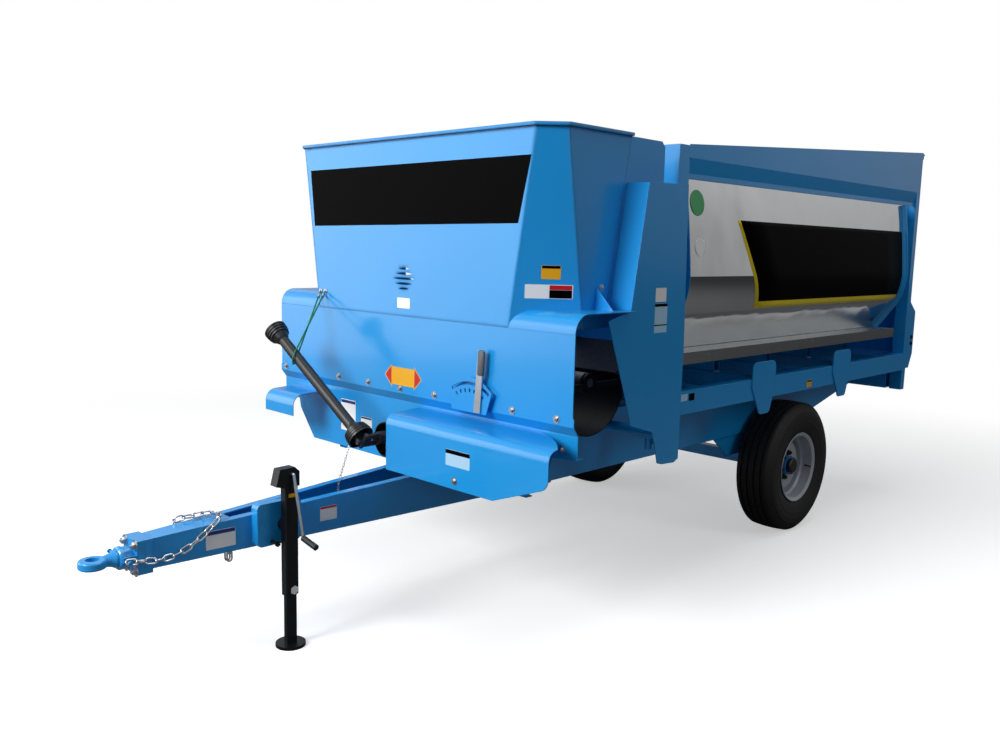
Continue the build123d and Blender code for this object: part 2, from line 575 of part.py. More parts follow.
for name, x, z, hand in AUGERS:
    with BuildPart() as auger:
        inner = (FRONT_WALL_Y[1] + 10, REAR_WALL_Y[0] - 10)
        rod((x, inner[0], z), (x, inner[1], z), SHAFT_R)
        rod((x, FRONT_WALL_Y[0] - BEARING_T, z), (x, REAR_WALL_Y[1] + BEARING_T, z), STUB_R)
        count = int((inner[1] - inner[0] - 2 * PADDLE[0]) // PADDLE_GAP) + 1
        first = (inner[0] + inner[1] - (count - 1) * PADDLE_GAP) / 2
        for index in range(count):
            place = Location((x, FRONT_Y + first + index * PADDLE_GAP, z), (0, hand * index * PADDLE_TURN, 0))
            with Locations(place):
                paddle(AUGER_R, hand * PADDLE_TILT)
    store(auger, name)

# Side bands above the tub: rising plate and the soffit that leans in to the skin's top edge, a hook at the rear
HOOK_R = 5
with BuildPart() as top_bands:
    soffit = [(BODY_HALF, BAND_LOW_Z + 2), (BODY_HALF, BAND_LOW_Z), (TUB_TOP_X + SHEET, SOFFIT_Z),
              (TUB_TOP_X + SHEET, TUB_TOP_Z + FIT)]
    plate(cross_plane(TUB_Y[0] + 6), folded(soffit[::-1], SHEET), -(POST_REAR[0] - TUB_Y[0] - 6))
    rise = (BAND_TOP_Z[1] - BAND_TOP_Z[0]) / (BAND_END - POST_FRONT[0])
    start = BAND_TOP_Z[0] + rise * (POST_FRONT[1] - POST_FRONT[0])
    band = [(POST_FRONT[1], BAND_LOW_Z), (BAND_END, BAND_LOW_Z), (BAND_END, BAND_TOP_Z[1]), (POST_FRONT[1], start)]
    plate(side_plane(BODY_HALF - SHEET), band, SHEET)
    mirror(about=Plane.YZ)
    plate(side_plane(-BODY_HALF + SHEET), [(BAND_END - SHEET, BAND_LOW_Z), (BAND_END, BAND_LOW_Z),
                                           (BAND_END, BAND_TOP_Z[1]), (BAND_END - SHEET, BAND_TOP_Z[1])],
          2 * (BODY_HALF - SHEET))
    lean = [(REAR_WALL_Y[1], SOFFIT_Z), (BAND_END, BAND_LOW_Z), (BAND_END, BAND_LOW_Z + 2)]
    plate(side_plane(-POST_REAR_X), folded(lean, SHEET), 2 * POST_REAR_X)
    for side in (-1, 1):
        x, z = side * (BODY_HALF - 12), BAND_TOP_Z[1] - 12
        rod((x, BAND_END - 1, z), (x, BAND_END + 48, z), HOOK_R)
        rod((x, BAND_END + 30, z - 30), (x, BAND_END + 30, z + 10), HOOK_R)
store(top_bands, "top_bands")

# Stainless shelf and lip along both sides, at the foot of the skirt
SHELF_Z, LIP_LOW_Z, LIP_X = 1228, 1169, BODY_HALF - SKIN
with BuildPart() as side_lips:
    root = skirt_x(SHELF_Z) + 2
    lip = [(LIP_X, LIP_LOW_Z), (LIP_X, SHELF_Z), (root, SHELF_Z)]
    plate(cross_plane(FRONT_WALL_Y[1]), folded(lip, SKIN), -(REAR_WALL_Y[0] - FRONT_WALL_Y[1]))
    mirror(about=Plane.YZ)
store(side_lips, "side_lips")

# Cover behind the rear wall
COVER_Z = (970, 1400)
with BuildPart() as rear_cover:
    cover = [(POST_REAR[1], COVER_Z[0] - 40), (REAR_END - 50, COVER_Z[0] - 40), (REAR_END, COVER_Z[0] + 60),
             (REAR_END, COVER_Z[1] - 70), (POST_REAR[1], COVER_Z[1])]
    plate(side_plane(-BODY_HALF), cover, 2 * BODY_HALF)
    inside = [(POST_REAR[1] - 1, COVER_Z[0] - 40 + SHEET), (REAR_END - 50 - SHEET, COVER_Z[0] - 40 + SHEET),
              (REAR_END - SHEET, COVER_Z[0] + 60), (REAR_END - SHEET, COVER_Z[1] - 70 - SHEET),
              (POST_REAR[1] - 1, COVER_Z[1] - SHEET)]
    plate(side_plane(-BODY_HALF + SHEET), inside, 2 * (BODY_HALF - SHEET), Mode.SUBTRACT)
store(rear_cover, "rear_cover")

# Front housing: tapered front, slanting corner faces, open top
SEAM_TOP_Y, SEAM_LOW_Y = 520, 372
RIM_LIP, RIM_H = 14, 14
FLANK_END, FLANK_STEP_Z = 775, 1480   # the sides end short of the post, above a tab that reaches it
LOUVRE_Z, LOUVRE_PITCH, LOUVRE_H = 1559, 24, 12


def house_volume(inset):
    """The housing's outer form, or its hollow when it is inset by the sheet's thickness."""
    corner = inset * (2 ** 0.5 - 1)
    levels = [(HOUSE_LOW_Z, HOUSE_LOW_X), (HOUSE_TOP_Z, HOUSE_TOP_X)]
    with BuildPart() as volume:
        for level, half in levels:
            deep = HOUSE_SIDE_X - half
            side = HOUSE_SIDE_X - inset
            back = POST_FRONT[0] + inset
            with BuildSketch(plan_plane(level)):
                polygon([(-half + corner, inset), (half - corner, inset), (side, deep + corner), (side, back),
                         (-side, back), (-side, deep + corner)])
        loft(ruled=True)
    return volume.part


house_outer, house_hollow = house_volume(0), house_volume(SHEET)
with BuildPart() as front_housing:
    add(house_outer)
    add(house_hollow, mode=Mode.SUBTRACT)
    behind = [(SEAM_LOW_Y, HOUSE_LOW_Z), (SEAM_TOP_Y, HOUSE_TOP_Z), (1000, HOUSE_TOP_Z), (1000, HOUSE_LOW_Z)]
    with BuildSketch(side_plane(0)):
        polygon(behind)
    extrude(amount=HOUSE_SIDE_X + 1, both=True, mode=Mode.SUBTRACT)
    with BuildSketch(plan_plane(HOUSE_TOP_Z)):
        corner = HOUSE_SIDE_X - HOUSE_TOP_X
        for lip, front, back, mode in ((RIM_LIP, -RIM_LIP, SEAM_TOP_Y, Mode.ADD),
                                       (-SHEET, SHEET, SEAM_TOP_Y + 1, Mode.SUBTRACT)):
            wide, deep = HOUSE_SIDE_X + lip, corner - lip * DIAGONAL
            polygon([(-HOUSE_TOP_X, front), (HOUSE_TOP_X, front), (wide, deep), (wide, back), (-wide, back),
                     (-wide, deep)], mode)
    extrude(amount=RIM_H)
    for step, wide in ((-2, 39), (-1, 61), (0, 82), (1, 61), (2, 39)):
        with BuildSketch(cross_plane(SHEET + 1)) as slot:
            z = LOUVRE_Z + step * LOUVRE_PITCH
            with BuildLine():
                ThreePointArc((-wide, z), (0, z + LOUVRE_H / 2), (wide, z))
                ThreePointArc((wide, z), (0, z - LOUVRE_H / 2), (-wide, z))
            make_face()
        extrude(slot.sketch, amount=SHEET + 2, mode=Mode.SUBTRACT)
store(front_housing, "front_housing")

with BuildPart() as housing_sides:
    flank = [(SEAM_LOW_Y + FIT, HOUSE_LOW_Z), (POST_FRONT[0], HOUSE_LOW_Z), (POST_FRONT[0], FLANK_STEP_Z),
             (FLANK_END, FLANK_STEP_Z + 60), (FLANK_END, BAND_TOP_Z[0] - 25), (FLANK_END - 25, BAND_TOP_Z[0]),
             (SEAM_TOP_Y + FIT, HOUSE_TOP_Z)]
    plate(side_plane(HOUSE_SIDE_X - SHEET), flank, SHEET)
    mirror(about=Plane.YZ)
store(housing_sides, "housing_sides")

# Front plate: full width under the housing, with a step back along its lower edge
PLATE_HALF = HOOD_HALF + 7
PTO_HOLE_R = 60
FLANGE_L = 40
with BuildPart() as front_plate:
    plate(cross_plane(0), [(-HOOD_HALF, HOUSE_LOW_Z), (-HOOD_HALF, 1040), (-PLATE_HALF, 1030),
                           (-PLATE_HALF, PLATE_STEP_Z), (PLATE_HALF, PLATE_STEP_Z), (PLATE_HALF, 1030),
                           (HOOD_HALF, 1040), (HOOD_HALF, HOUSE_LOW_Z)], -SHEET)
    step = [(0, PLATE_STEP_Z + 1), (0, PLATE_STEP_Z), (JOG, PLATE_CREASE_Z), (JOG, PLATE_CREASE_Z - 1)]
    plate(side_plane(-PLATE_HALF), folded(step, SHEET), 2 * PLATE_HALF)
store(front_plate, "front_plate")

EAR_L = 136           # length of the straight ear at each end of the lower plate
EAR_X, KEEL_X = PLATE_HALF - EAR_L, PLATE_HALF - EAR_L - 142
KEEL_Z = 645
LOW_SPAN = [(PLATE_HALF, PLATE_CREASE_Z - 1), (PLATE_HALF, PLATE_LOW_Z), (EAR_X, PLATE_LOW_Z - 10),
            (EAR_X - 12, PLATE_LOW_Z - 60), (KEEL_X, KEEL_Z)]
with BuildPart() as lower_front_plate:
    mirrored = [(-x, z) for x, z in LOW_SPAN]
    plate(cross_plane(JOG), LOW_SPAN + mirrored[::-1], -SHEET)
    block((-KEEL_X, KEEL_X), (JOG + SHEET, JOG + FLANGE_L), (KEEL_Z, KEEL_Z + SHEET))
    for side in (-1, 1):
        block(sorted((side * EAR_X, side * PLATE_HALF)), (JOG + SHEET, JOG + FLANGE_L),
              (PLATE_LOW_Z, PLATE_LOW_Z + SHEET))
    rod((0, JOG - 1, PTO_Z), (0, JOG + SHEET + 1, PTO_Z), PTO_HOLE_R, Mode.SUBTRACT)
store(lower_front_plate, "lower_front_plate")

# Discharge hoods beside the housing, each with a gusset
GUSSET, GUSSET_Y = 98, 310
with BuildPart() as discharge_hoods:
    hood = [(0, HOUSE_LOW_Z + FIT), (0, HOOD_TOP_Z), (HOOD_END_Y, HOOD_TOP_Z)]
    bent(side_plane(HOUSE_LOW_X), hood, HOOD_TOP_Z - HOUSE_LOW_Z - 3, HOOD_HALF - HOUSE_LOW_X)
    add(house_outer, mode=Mode.SUBTRACT)
    gusset = [(HOUSE_SIDE_X, HOOD_TOP_Z), (HOUSE_SIDE_X + GUSSET, HOOD_TOP_Z), (HOUSE_SIDE_X, HOOD_TOP_Z + GUSSET)]
    plate(cross_plane(GUSSET_Y), gusset, SHEET)
    mirror(about=Plane.YZ)
store(discharge_hoods, "discharge_hoods")

# Deflectors behind the discharges: outer face and the flange that leans forward to the housing
DEFLECT_X = HOOD_HALF - 30
DEFLECT_TOP_Z, DEFLECT_TOP_Y, DEFLECT_HOOD_Y = 2012, 499, 404
with BuildPart() as deflectors:
    face = [(DEFLECT_TOP_Y, DEFLECT_TOP_Z), (DEFLECT_HOOD_Y, HOOD_TOP_Z), (250, 1420), (440, 949), (600, 900),
            (628, 841), (654, 746), (690, 736), (790, 730), (824, 745), (826, 1267), (800, 2020)]
    plate(side_plane(DEFLECT_X - SHEET), face, SHEET)
    with BuildSketch(side_plane(DEFLECT_X)):
        polygon([(0, HOOD_TOP_Z - SHEET - FIT), (HOOD_END_Y + FIT, HOOD_TOP_Z - SHEET - FIT),
                 (HOOD_END_Y + FIT, HOOD_TOP_Z), (0, HOOD_TOP_Z)])
    extrude(amount=20, both=True, mode=Mode.SUBTRACT)
    lean = [(DEFLECT_HOOD_Y, HOOD_TOP_Z), (DEFLECT_TOP_Y, DEFLECT_TOP_Z)]
    plate(side_plane(HOUSE_SIDE_X), folded(lean[::-1], SHEET), DEFLECT_X - HOUSE_SIDE_X)
    mirror(about=Plane.YZ)
store(deflectors, "deflectors")

# Cross trough, the gate between it and the tub, and the cross auger
TROUGH_Y, TROUGH_Z, TROUGH_R, TROUGH_HALF = 340, 1130, 235, HOUSE_SIDE_X - 30
TROUGH_BACK = (FRONT_WALL_Y[0] - FIT, 1252)
APRON_HALF = POST_FRONT_X - 10
CROSS_AUGER_R, CROSS_STUB_R, HANGER_X = 205, 20, TROUGH_HALF - 22
with BuildPart() as cross_trough:
    with BuildSketch(side_plane(-TROUGH_HALF)):
        with Locations((TROUGH_Y, TROUGH_Z)):
            Circle(TROUGH_R + SHEET)
            Circle(TROUGH_R, mode=Mode.SUBTRACT)
            Rectangle(3 * TROUGH_R, 3 * TROUGH_R, align=(Align.CENTER, Align.MIN), mode=Mode.SUBTRACT)
        y0, y1 = TROUGH_Y - TROUGH_R - SHEET, TROUGH_Y + TROUGH_R + SHEET
        polygon(folded([(SHEET + 2, HOUSE_LOW_Z - 8), (y0, 1290), (y0, TROUGH_Z)], SHEET))
        polygon([(y1, TROUGH_Z), (y1, TROUGH_Z + 20), (y1 - SHEET, TROUGH_Z + 20), (y1 - SHEET, TROUGH_Z)])
    extrude(amount=2 * TROUGH_HALF)
    apron = [(y1, TROUGH_Z + 19), TROUGH_BACK]
    plate(side_plane(-APRON_HALF), folded(apron, SHEET), 2 * APRON_HALF)
    for side in (-1, 1):
        reach = sorted((side * HANGER_X, side * (HANGER_X + 12)))
        block(reach, (TROUGH_Y - TROUGH_R, TROUGH_Y + TROUGH_R), (TROUGH_Z - 25, TROUGH_Z))
        rod((reach[0], TROUGH_Y, TROUGH_Z), (reach[1], TROUGH_Y, TROUGH_Z), 45)
    rod((-HANGER_X - 20, TROUGH_Y, TROUGH_Z), (HANGER_X + 20, TROUGH_Y, TROUGH_Z), CROSS_STUB_R + RUN, Mode.SUBTRACT)
store(cross_trough, "cross_trough")

with BuildPart() as cross_auger:
    reach = HANGER_X - 10
    rod((-reach, TROUGH_Y, TROUGH_Z), (reach, TROUGH_Y, TROUGH_Z), SHAFT_R)
    rod((-HANGER_X - 12, TROUGH_Y, TROUGH_Z), (HANGER_X + 12, TROUGH_Y, TROUGH_Z), CROSS_STUB_R)
    count = int((2 * reach - 2 * PADDLE[0]) // PADDLE_GAP) + 1
    for index in range(count):
        x = (index - (count - 1) / 2) * PADDLE_GAP
        hand = 1 if x >= 0 else -1
        place = Location((x, FRONT_Y + TROUGH_Y, TROUGH_Z), (0, 0, 90)) * Location((0, 0, 0), (0, index * PADDLE_TURN, 0))
        with Locations(place):
            paddle(CROSS_AUGER_R, hand * PADDLE_TILT)
store(cross_auger, "cross_auger")

with BuildPart() as discharge_gate:
    block((-GATE_HALF - GATE_LAP, GATE_HALF + GATE_LAP), (GATE_Y, GATE_Y + GATE_T), (GUIDE_Z[0] + 10, GATE_Z[1] + 40))
    block((-60, 60), (GATE_Y - 40, GATE_Y), (GATE_Z[1] - 20, GATE_Z[1] + 10))
store(discharge_gate, "discharge_gate")

# Tubes under the discharges, from the beams to the deflectors
TUBE_Y, TUBE_Z, TUBE_R = 640, 885, 25
STEM_IN, STEM_L = 45, 75
with BuildPart() as discharge_tubes:
    rod((BEAM_X[1], TUBE_Y, TUBE_Z), (DEFLECT_X - SHEET, TUBE_Y, TUBE_Z), TUBE_R)
    rod((DEFLECT_X - STEM_IN, TUBE_Y, TUBE_Z - STEM_L), (DEFLECT_X - STEM_IN, TUBE_Y, TUBE_Z), 16)
    mirror(about=Plane.YZ)
store(discharge_tubes, "discharge_tubes")

# Drive shield on the left, beside the power take-off, bent over its long upper edge
SHIELD_Y, SHIELD_TOP_Z, SHIELD_LOW_Z = -190, 950, 675
SHIELD_R = 48
SHIELD_X = (112, WIDEST_HALF)
SHIELD_KEEL_X, SHIELD_END_Z, SHIELD_CORNER_R = WIDEST_HALF - 305, 784, 55
SHIELD_BACK_X, SHIELD_TURN_Y = WIDEST_HALF - 245, SHIELD_Y + 50
with BuildPart() as drive_shield:
    bend = [(JOG - 0.9, SHIELD_TOP_Z), (SHIELD_Y, SHIELD_TOP_Z - 15), (SHIELD_Y, SHIELD_LOW_Z)]
    bent(side_plane(SHIELD_X[0]), bend[::-1], SHIELD_R, SHIELD_X[1] - SHIELD_X[0])
    with BuildSketch(cross_plane(SHIELD_Y + 30)) as low_corner:
        with BuildLine():
            edge = FilletPolyline((SHIELD_KEEL_X, SHIELD_LOW_Z), (SHIELD_X[1], SHIELD_END_Z), (SHIELD_X[1], SHIELD_TOP_Z),
                                  radius=SHIELD_CORNER_R)
            Polyline(edge @ 1, (SHIELD_X[1] + 1, SHIELD_TOP_Z), (SHIELD_X[1] + 1, SHIELD_LOW_Z - 1),
                     (SHIELD_KEEL_X, SHIELD_LOW_Z - 1), edge @ 0)
        make_face()
    extrude(amount=40, mode=Mode.SUBTRACT)
    with BuildSketch(plan_plane(SHIELD_TOP_Z - 50)) as rear_corner:
        with BuildLine():
            edge = ThreePointArc((SHIELD_BACK_X, JOG + 1), ((SHIELD_BACK_X + WIDEST_HALF) / 2 + 16, SHIELD_TURN_Y / 2 + 32),
                                 (WIDEST_HALF + 1, SHIELD_TURN_Y))
            Polyline(edge @ 1, (WIDEST_HALF + 1, JOG + 1), edge @ 0)
        make_face()
    extrude(amount=60, mode=Mode.SUBTRACT)
store(drive_shield, "drive_shield")

GUARD_L, GUARD_END_X, GUARD_Y, GUARD_TOP_Z, GUARD_LOW_Z, GUARD_R = 270, 942, -192, 932, 812, 60
with BuildPart() as small_guard:
    bend = [(JOG - 0.9, GUARD_TOP_Z), (GUARD_Y, GUARD_TOP_Z - 12), (GUARD_Y, GUARD_LOW_Z)]
    bent(side_plane(-GUARD_END_X), bend[::-1], GUARD_R, GUARD_L)
store(small_guard, "small_guard")

# Gate lever and its sector plate
SECTOR_Y, SECTOR_T = -20, 6
PIVOT = (500, 915)
SLOT_R = 200
with BuildPart() as sector_plate:
    with BuildSketch(cross_plane(SECTOR_Y)):
        polygon([(385, 985), (362, 1085), (430, 1130), (500, 1145), (570, 1132), (640, 1085), (605, 985)])
        with Locations(PIVOT):
            for index in range(13):
                with PolarLocations(SLOT_R, 1, start_angle=56 + index * 5.5):
                    Rectangle(14, 20, mode=Mode.SUBTRACT)
            for index in range(7):
                with PolarLocations(SLOT_R - 32, 1, start_angle=60 + index * 10):
                    Rectangle(16, 8, mode=Mode.SUBTRACT)
    extrude(amount=SECTOR_T)
    for x, z in ((395, 1000), (596, 1000)):
        rod((x, SECTOR_Y - 1, z), (x, 0, z), 8)
store(sector_plate, "sector_plate")

with BuildPart() as gate_lever:
    plate(cross_plane(SECTOR_Y - SECTOR_T - FIT), [(535, 990), (575, 990), (592, 1270), (558, 1270)], 8)
store(gate_lever, "gate_lever")

# Power take-off: gearbox, guard cone, universal joint, and the guarded shaft parked in its sling
GEARBOX_Y, STUB_END_Y = (60, 330), -110
PTO_R = 20
CONE_R, CONE_BASE_R, CONE_L, CONE_DROP = 86, 66, 138, 14
with BuildPart() as gearbox:
    block((-110, 110), GEARBOX_Y, (690, TROUGH_Z - TROUGH_R - SHEET))
    rod((0, STUB_END_Y, PTO_Z), (0, GEARBOX_Y[0], PTO_Z), PTO_R)
store(gearbox, "gearbox")

with BuildPart() as pto_cone:
    cone = [(0, 0), (0, CONE_BASE_R), (14, CONE_BASE_R), (CONE_L - 30, CONE_R), (CONE_L, CONE_R),
            (CONE_L, CONE_R - 5), (CONE_L - 28, CONE_R - 5), (14, CONE_BASE_R - 5), (6, CONE_BASE_R - 5), (6, 0)]
    turned((0, JOG, PTO_Z - CONE_DROP), Vector(0, -1, 0), cone)
    rod((0, JOG - 7, PTO_Z), (0, JOG + 1, PTO_Z), PTO_R + RUN, Mode.SUBTRACT)
store(pto_cone, "pto_cone")

JOINT = Vector(0, -235, 797)
PARKED = Vector(-648, -301, 1268)
BELL_START, BELL_R, TUBE_START, GUARD_TUBE_R = 22, 66, 88, 27
END_BELL_R, END_L = 58, 60
YOKE_R, YOKE_BORE_R = 27, 17.45
shaft_length = (PARKED - JOINT).length
along = (PARKED - JOINT).normalized()
first_pin = along.cross(Vector(0, 1, 0)).normalized()
second_pin = along.cross(first_pin).normalized()
with BuildPart() as pto_joint:
    rod((0, STUB_END_Y - FIT, PTO_Z), (0, JOINT.Y + BELL_R + 6, PTO_Z), 31)
    for side in (-1, 1):
        ear = JOINT + first_pin * (side * 27)
        rod(ear, ear + Vector(0, 75, 0), 12)
        ear = JOINT + second_pin * (side * 27)
        rod(ear, ear + along * 40, 12)
    rod(JOINT - first_pin * 42, JOINT + first_pin * 42, 10)
    rod(JOINT - second_pin * 42, JOINT + second_pin * 42, 10)
    rod(JOINT + along * 30, JOINT + along * (TUBE_START - FIT), 24)
store(pto_joint, "pto_joint")

BELL_RIBS = [(0, 0), (8, 0), (8, -4), (14, -4), (14, -1), (22, -1), (22, -6), (28, -6), (28, -3), (36, -3), (36, -9),
             (42, -9), (42, -7), (50, -7), (50, -14)]   # distance from the mouth, radius less than the mouth's
with BuildPart() as pto_guard:
    near = [(BELL_START + step, BELL_R + less) for step, less in BELL_RIBS] + [(92, 34), (104, GUARD_TUBE_R)]
    mouth = shaft_length + 12
    far = [(mouth - step, END_BELL_R + less) for step, less in BELL_RIBS[::-1]]
    tube_end = shaft_length - END_L
    profile = near + [(tube_end - 16, GUARD_TUBE_R), (tube_end - 4, 34)] + far
    profile += [(mouth, END_BELL_R - 5), (tube_end + 15, YOKE_R + 7), (tube_end, YOKE_R + 5), (tube_end, 0)]
    profile += [(TUBE_START, 0), (TUBE_START, 28), (78, 28), (58, 40), (BELL_START, BELL_R - 6)]
    turned(JOINT, along, profile)
store(pto_guard, "pto_guard")

with BuildPart() as drive_yoke:
    rod(JOINT + along * (tube_end + FIT), JOINT + along * (shaft_length + 20), YOKE_R)
    rod(JOINT + along * (shaft_length - 40), JOINT + along * (shaft_length + 21), YOKE_BORE_R, Mode.SUBTRACT)
store(drive_yoke, "drive_yoke")

# Thin chain from the guard's bell down to the lip inside the drawbar's right leg
THIN_Y = -332
down = Vector(-0.55, -0.4, -1)
down = (down - along * down.dot(along)).normalized()
bell_seat = BELL_R - 0.5
THIN_X = BAR_LIP + THIN_W / 2 + 1 - bar_half(THIN_Y)
THIN_ROUTE = [JOINT + along * (BELL_START + 26) + down * bell_seat, (THIN_X, THIN_Y, bar_top(THIN_Y)),
              (THIN_X, THIN_Y - 8, 540)]
with BuildPart() as guard_chain:
    link = chain_link(THIN_T, THIN_L - 0.4, THIN_W)
    for place in chain_places(THIN_ROUTE, THIN_L, (-400, 600)):
        with Locations(place.location):
            add(link)
store(guard_chain, "guard_chain")

# Sling of thin cord that holds the parked shaft: out of the housing's front, round the guard and back
CORD_R = 4
SLING_OUT = 0.82 * CORD_R + FIT    # the slanting cord's edge then just clears the housing
SLING_TOPS = [Vector(-692, -SLING_OUT, 1465), Vector(-648, -SLING_OUT, 1466)]
held = JOINT + along * (shaft_length * 0.765)
pull = ((SLING_TOPS[0] + SLING_TOPS[1]) * 0.5 - held).normalized()
spread = along.cross(pull).normalized()
if spread.X > 0:
    spread = spread * -1
LOOP_R = GUARD_TUBE_R + CORD_R + 4
loop_centre = held - pull * 10
EIGHTH = 0.3926991    # half of a 45 degree turn, in radians


def loop_corner(turns):
    angle = EIGHTH * turns
    out = LOOP_R / cos(EIGHTH)
    return loop_centre + spread * (out * cos(angle)) - pull * (out * sin(angle))


sling = [SLING_TOPS[0]] + [loop_corner(turns) for turns in (1, 3, 5, 7)] + [SLING_TOPS[1]]
sling = [Vector(point.X, FRONT_Y + point.Y, point.Z) for point in sling]
sling_radii = []
for a, b, c in zip(sling, sling[1:], sling[2:]):
    turn = radians((b - a).get_angle(c - b))
    sling_radii.append(0.45 * min((b - a).length, (c - b).length) / tan(turn / 2))
print("sling points", [tuple(round(value, 1) for value in point) for point in sling])
print("sling radii", [round(radius, 1) for radius in sling_radii])
with BuildPart() as shaft_sling:
    with BuildLine() as sling_line:
        FilletPolyline(*sling, radius=sling_radii)
    with BuildSketch(Plane(origin=sling_line.line @ 0, z_dir=sling_line.line % 0)):
        Circle(CORD_R)
    sweep(path=sling_line.line)
sling_length = sum(edge.length for edge in sling_line.edges())
print("sling length", round(sling_length, 1), "volume by section", round(sling_length * pi * CORD_R ** 2), "solid",
      round(shaft_sling.part.volume))
store(shaft_sling, "shaft_sling")

FERRULE_R, FERRULE_L = 8, 20
with BuildPart() as sling_ferrules:
    for top, after in ((sling[0], sling[1]), (sling[-1], sling[-2])):
        run = (after - top).normalized()
        for radius, start, length, mode in ((FERRULE_R, 24, FERRULE_L, Mode.ADD),
                                            (CORD_R + 0.2, 23, FERRULE_L + 2, Mode.SUBTRACT)):
            with BuildSketch(Plane(origin=top + run * start, z_dir=run)) as ring:
                Circle(radius)
            extrude(ring.sketch, amount=length, mode=mode)
store(sling_ferrules, "sling_ferrules")

# Wheels: tyre, disc wheel and hub on each side, turned about the X axis
TREAD_HALF = 86
BEAD_HALF = RIM_W / 2 - 11
DISC_T = 6
CAP_REACH = 75
WHEEL_AXIS = Plane(origin=(0, FRONT_Y + WHEEL_Y, AXLE_Z), x_dir=(1, 0, 0), z_dir=(0, -1, 0))
SPIN = Axis((0, FRONT_Y + WHEEL_Y, AXLE_Z), (1, 0, 0))
for name, side in (("left", 1), ("right", -1)):
    centre = side * WHEEL_X
    half = TYRE_W / 2
    with BuildPart() as tyre:
        with BuildSketch(WHEEL_AXIS):
            bead = SEAT_R + FIT
            shape = [(BEAD_HALF, bead), (BEAD_HALF + 8, 228), (half - 5, 280), (half, 320), (half - 10, 368),
                     (TREAD_HALF, 400), (40, TYRE_R)]
            polygon([(centre + x, r) for x, r in shape] + [(centre - x, r) for x, r in shape[::-1]])
        revolve(axis=SPIN)
    store(tyre, "tyre_" + name)
    with BuildPart() as rim:
        with BuildSketch(WHEEL_AXIS):
            edge = RIM_W / 2
            barrel = [(edge, RIM_R), (edge - 9, SEAT_R), (35, SEAT_R), (25, WELL_R), (-30, WELL_R), (-40, SEAT_R),
                      (9 - edge, SEAT_R), (-edge, RIM_R)]
            polygon(folded([(centre + x, r) for x, r in barrel], 5))
            disc = [(DISH - 30, WELL_R - 4), (DISH - 2, 150), (DISH, 140), (DISH, 62), (DISH - DISC_T, 62),
                    (DISH - DISC_T, 138), (DISH - 30 - DISC_T, WELL_R - 4)]
            polygon([(centre + side * x, r) for x, r in disc])
        revolve(axis=SPIN)
    store(rim, "rim_" + name)
    with BuildPart() as hub:
        with BuildSketch(WHEEL_AXIS):
            back, seat, bore = -75, DISH - DISC_T - FIT, SPINDLE_R + RUN
            turning = [(back, bore), (back, 45), (seat - 12, 50), (seat - 12, 95), (seat, 95), (seat, 60),
                       (DISH + 26, 60), (DISH + 26, 46), (CAP_REACH - 8, 46), (CAP_REACH, 40), (CAP_REACH, 0),
                       (SPINDLE_REACH + 2, 0), (SPINDLE_REACH + 2, bore)]
            polygon([(side * (WHEEL_X + x), r) for x, r in turning])
        revolve(axis=SPIN)
    store(hub, "hub_" + name)

for name, piece in PIECES.items():
    export_step(piece, f"parts/{name}.step")
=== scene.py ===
"""Feed wagon: sky-blue enamel, polished stainless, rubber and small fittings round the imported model.

Metres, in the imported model's frame. The wagon faces -Y and its left side is +X. Lengths named "back" are
counted from the front plate, positive to the rear, and turned into the frame by at().
"""
import math

import bmesh
import bpy
from mathutils import Matrix, Vector


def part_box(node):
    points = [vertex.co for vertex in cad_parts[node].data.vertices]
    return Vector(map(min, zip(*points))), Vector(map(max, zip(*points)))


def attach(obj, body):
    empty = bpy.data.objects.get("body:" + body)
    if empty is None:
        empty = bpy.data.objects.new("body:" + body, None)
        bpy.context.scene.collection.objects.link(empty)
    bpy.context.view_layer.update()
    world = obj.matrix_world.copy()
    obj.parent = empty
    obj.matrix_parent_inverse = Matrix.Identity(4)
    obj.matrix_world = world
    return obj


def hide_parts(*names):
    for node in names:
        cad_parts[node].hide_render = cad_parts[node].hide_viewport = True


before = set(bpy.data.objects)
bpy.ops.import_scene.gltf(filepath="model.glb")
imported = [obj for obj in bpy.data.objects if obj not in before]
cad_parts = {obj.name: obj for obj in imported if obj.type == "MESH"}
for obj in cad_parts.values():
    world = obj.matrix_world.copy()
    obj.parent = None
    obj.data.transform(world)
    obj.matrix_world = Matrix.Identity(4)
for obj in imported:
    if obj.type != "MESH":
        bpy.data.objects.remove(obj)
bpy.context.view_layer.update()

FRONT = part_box("front_plate")[0][1]      # the front plate's face, where "back" is 0


def at(x, back, z):
    return Vector((x, FRONT + back, z))


# Camera at the photograph's angle
CAMERA_PLACE = (3.4013, -3.9651, 1.7226)
CAMERA_TURN, CAMERA_DIP, CAMERA_ROLL = 44.5415, 8.0651, 1.33   # degrees: to the left of +Y, down, clockwise
CAMERA_LENS, SENSOR = 32.68, 36.0


def place_camera():
    turn, dip, roll = (math.radians(v) for v in (CAMERA_TURN, CAMERA_DIP, CAMERA_ROLL))
    ahead = Vector((-math.sin(turn) * math.cos(dip), math.cos(turn) * math.cos(dip), -math.sin(dip)))
    right = Vector((math.cos(turn), math.sin(turn), 0))
    up = right.cross(ahead)
    across = right * math.cos(roll) + up * math.sin(roll)
    upright = up * math.cos(roll) - right * math.sin(roll)
    lens = bpy.data.cameras.new("photo_camera")
    lens.sensor_width, lens.lens = SENSOR, CAMERA_LENS
    camera = bpy.data.objects.new("photo_camera", lens)
    bpy.context.scene.collection.objects.link(camera)
    turned = Matrix((across, upright, -ahead)).transposed().to_4x4()
    camera.matrix_world = Matrix.Translation(CAMERA_PLACE) @ turned
    bpy.context.scene.camera = camera


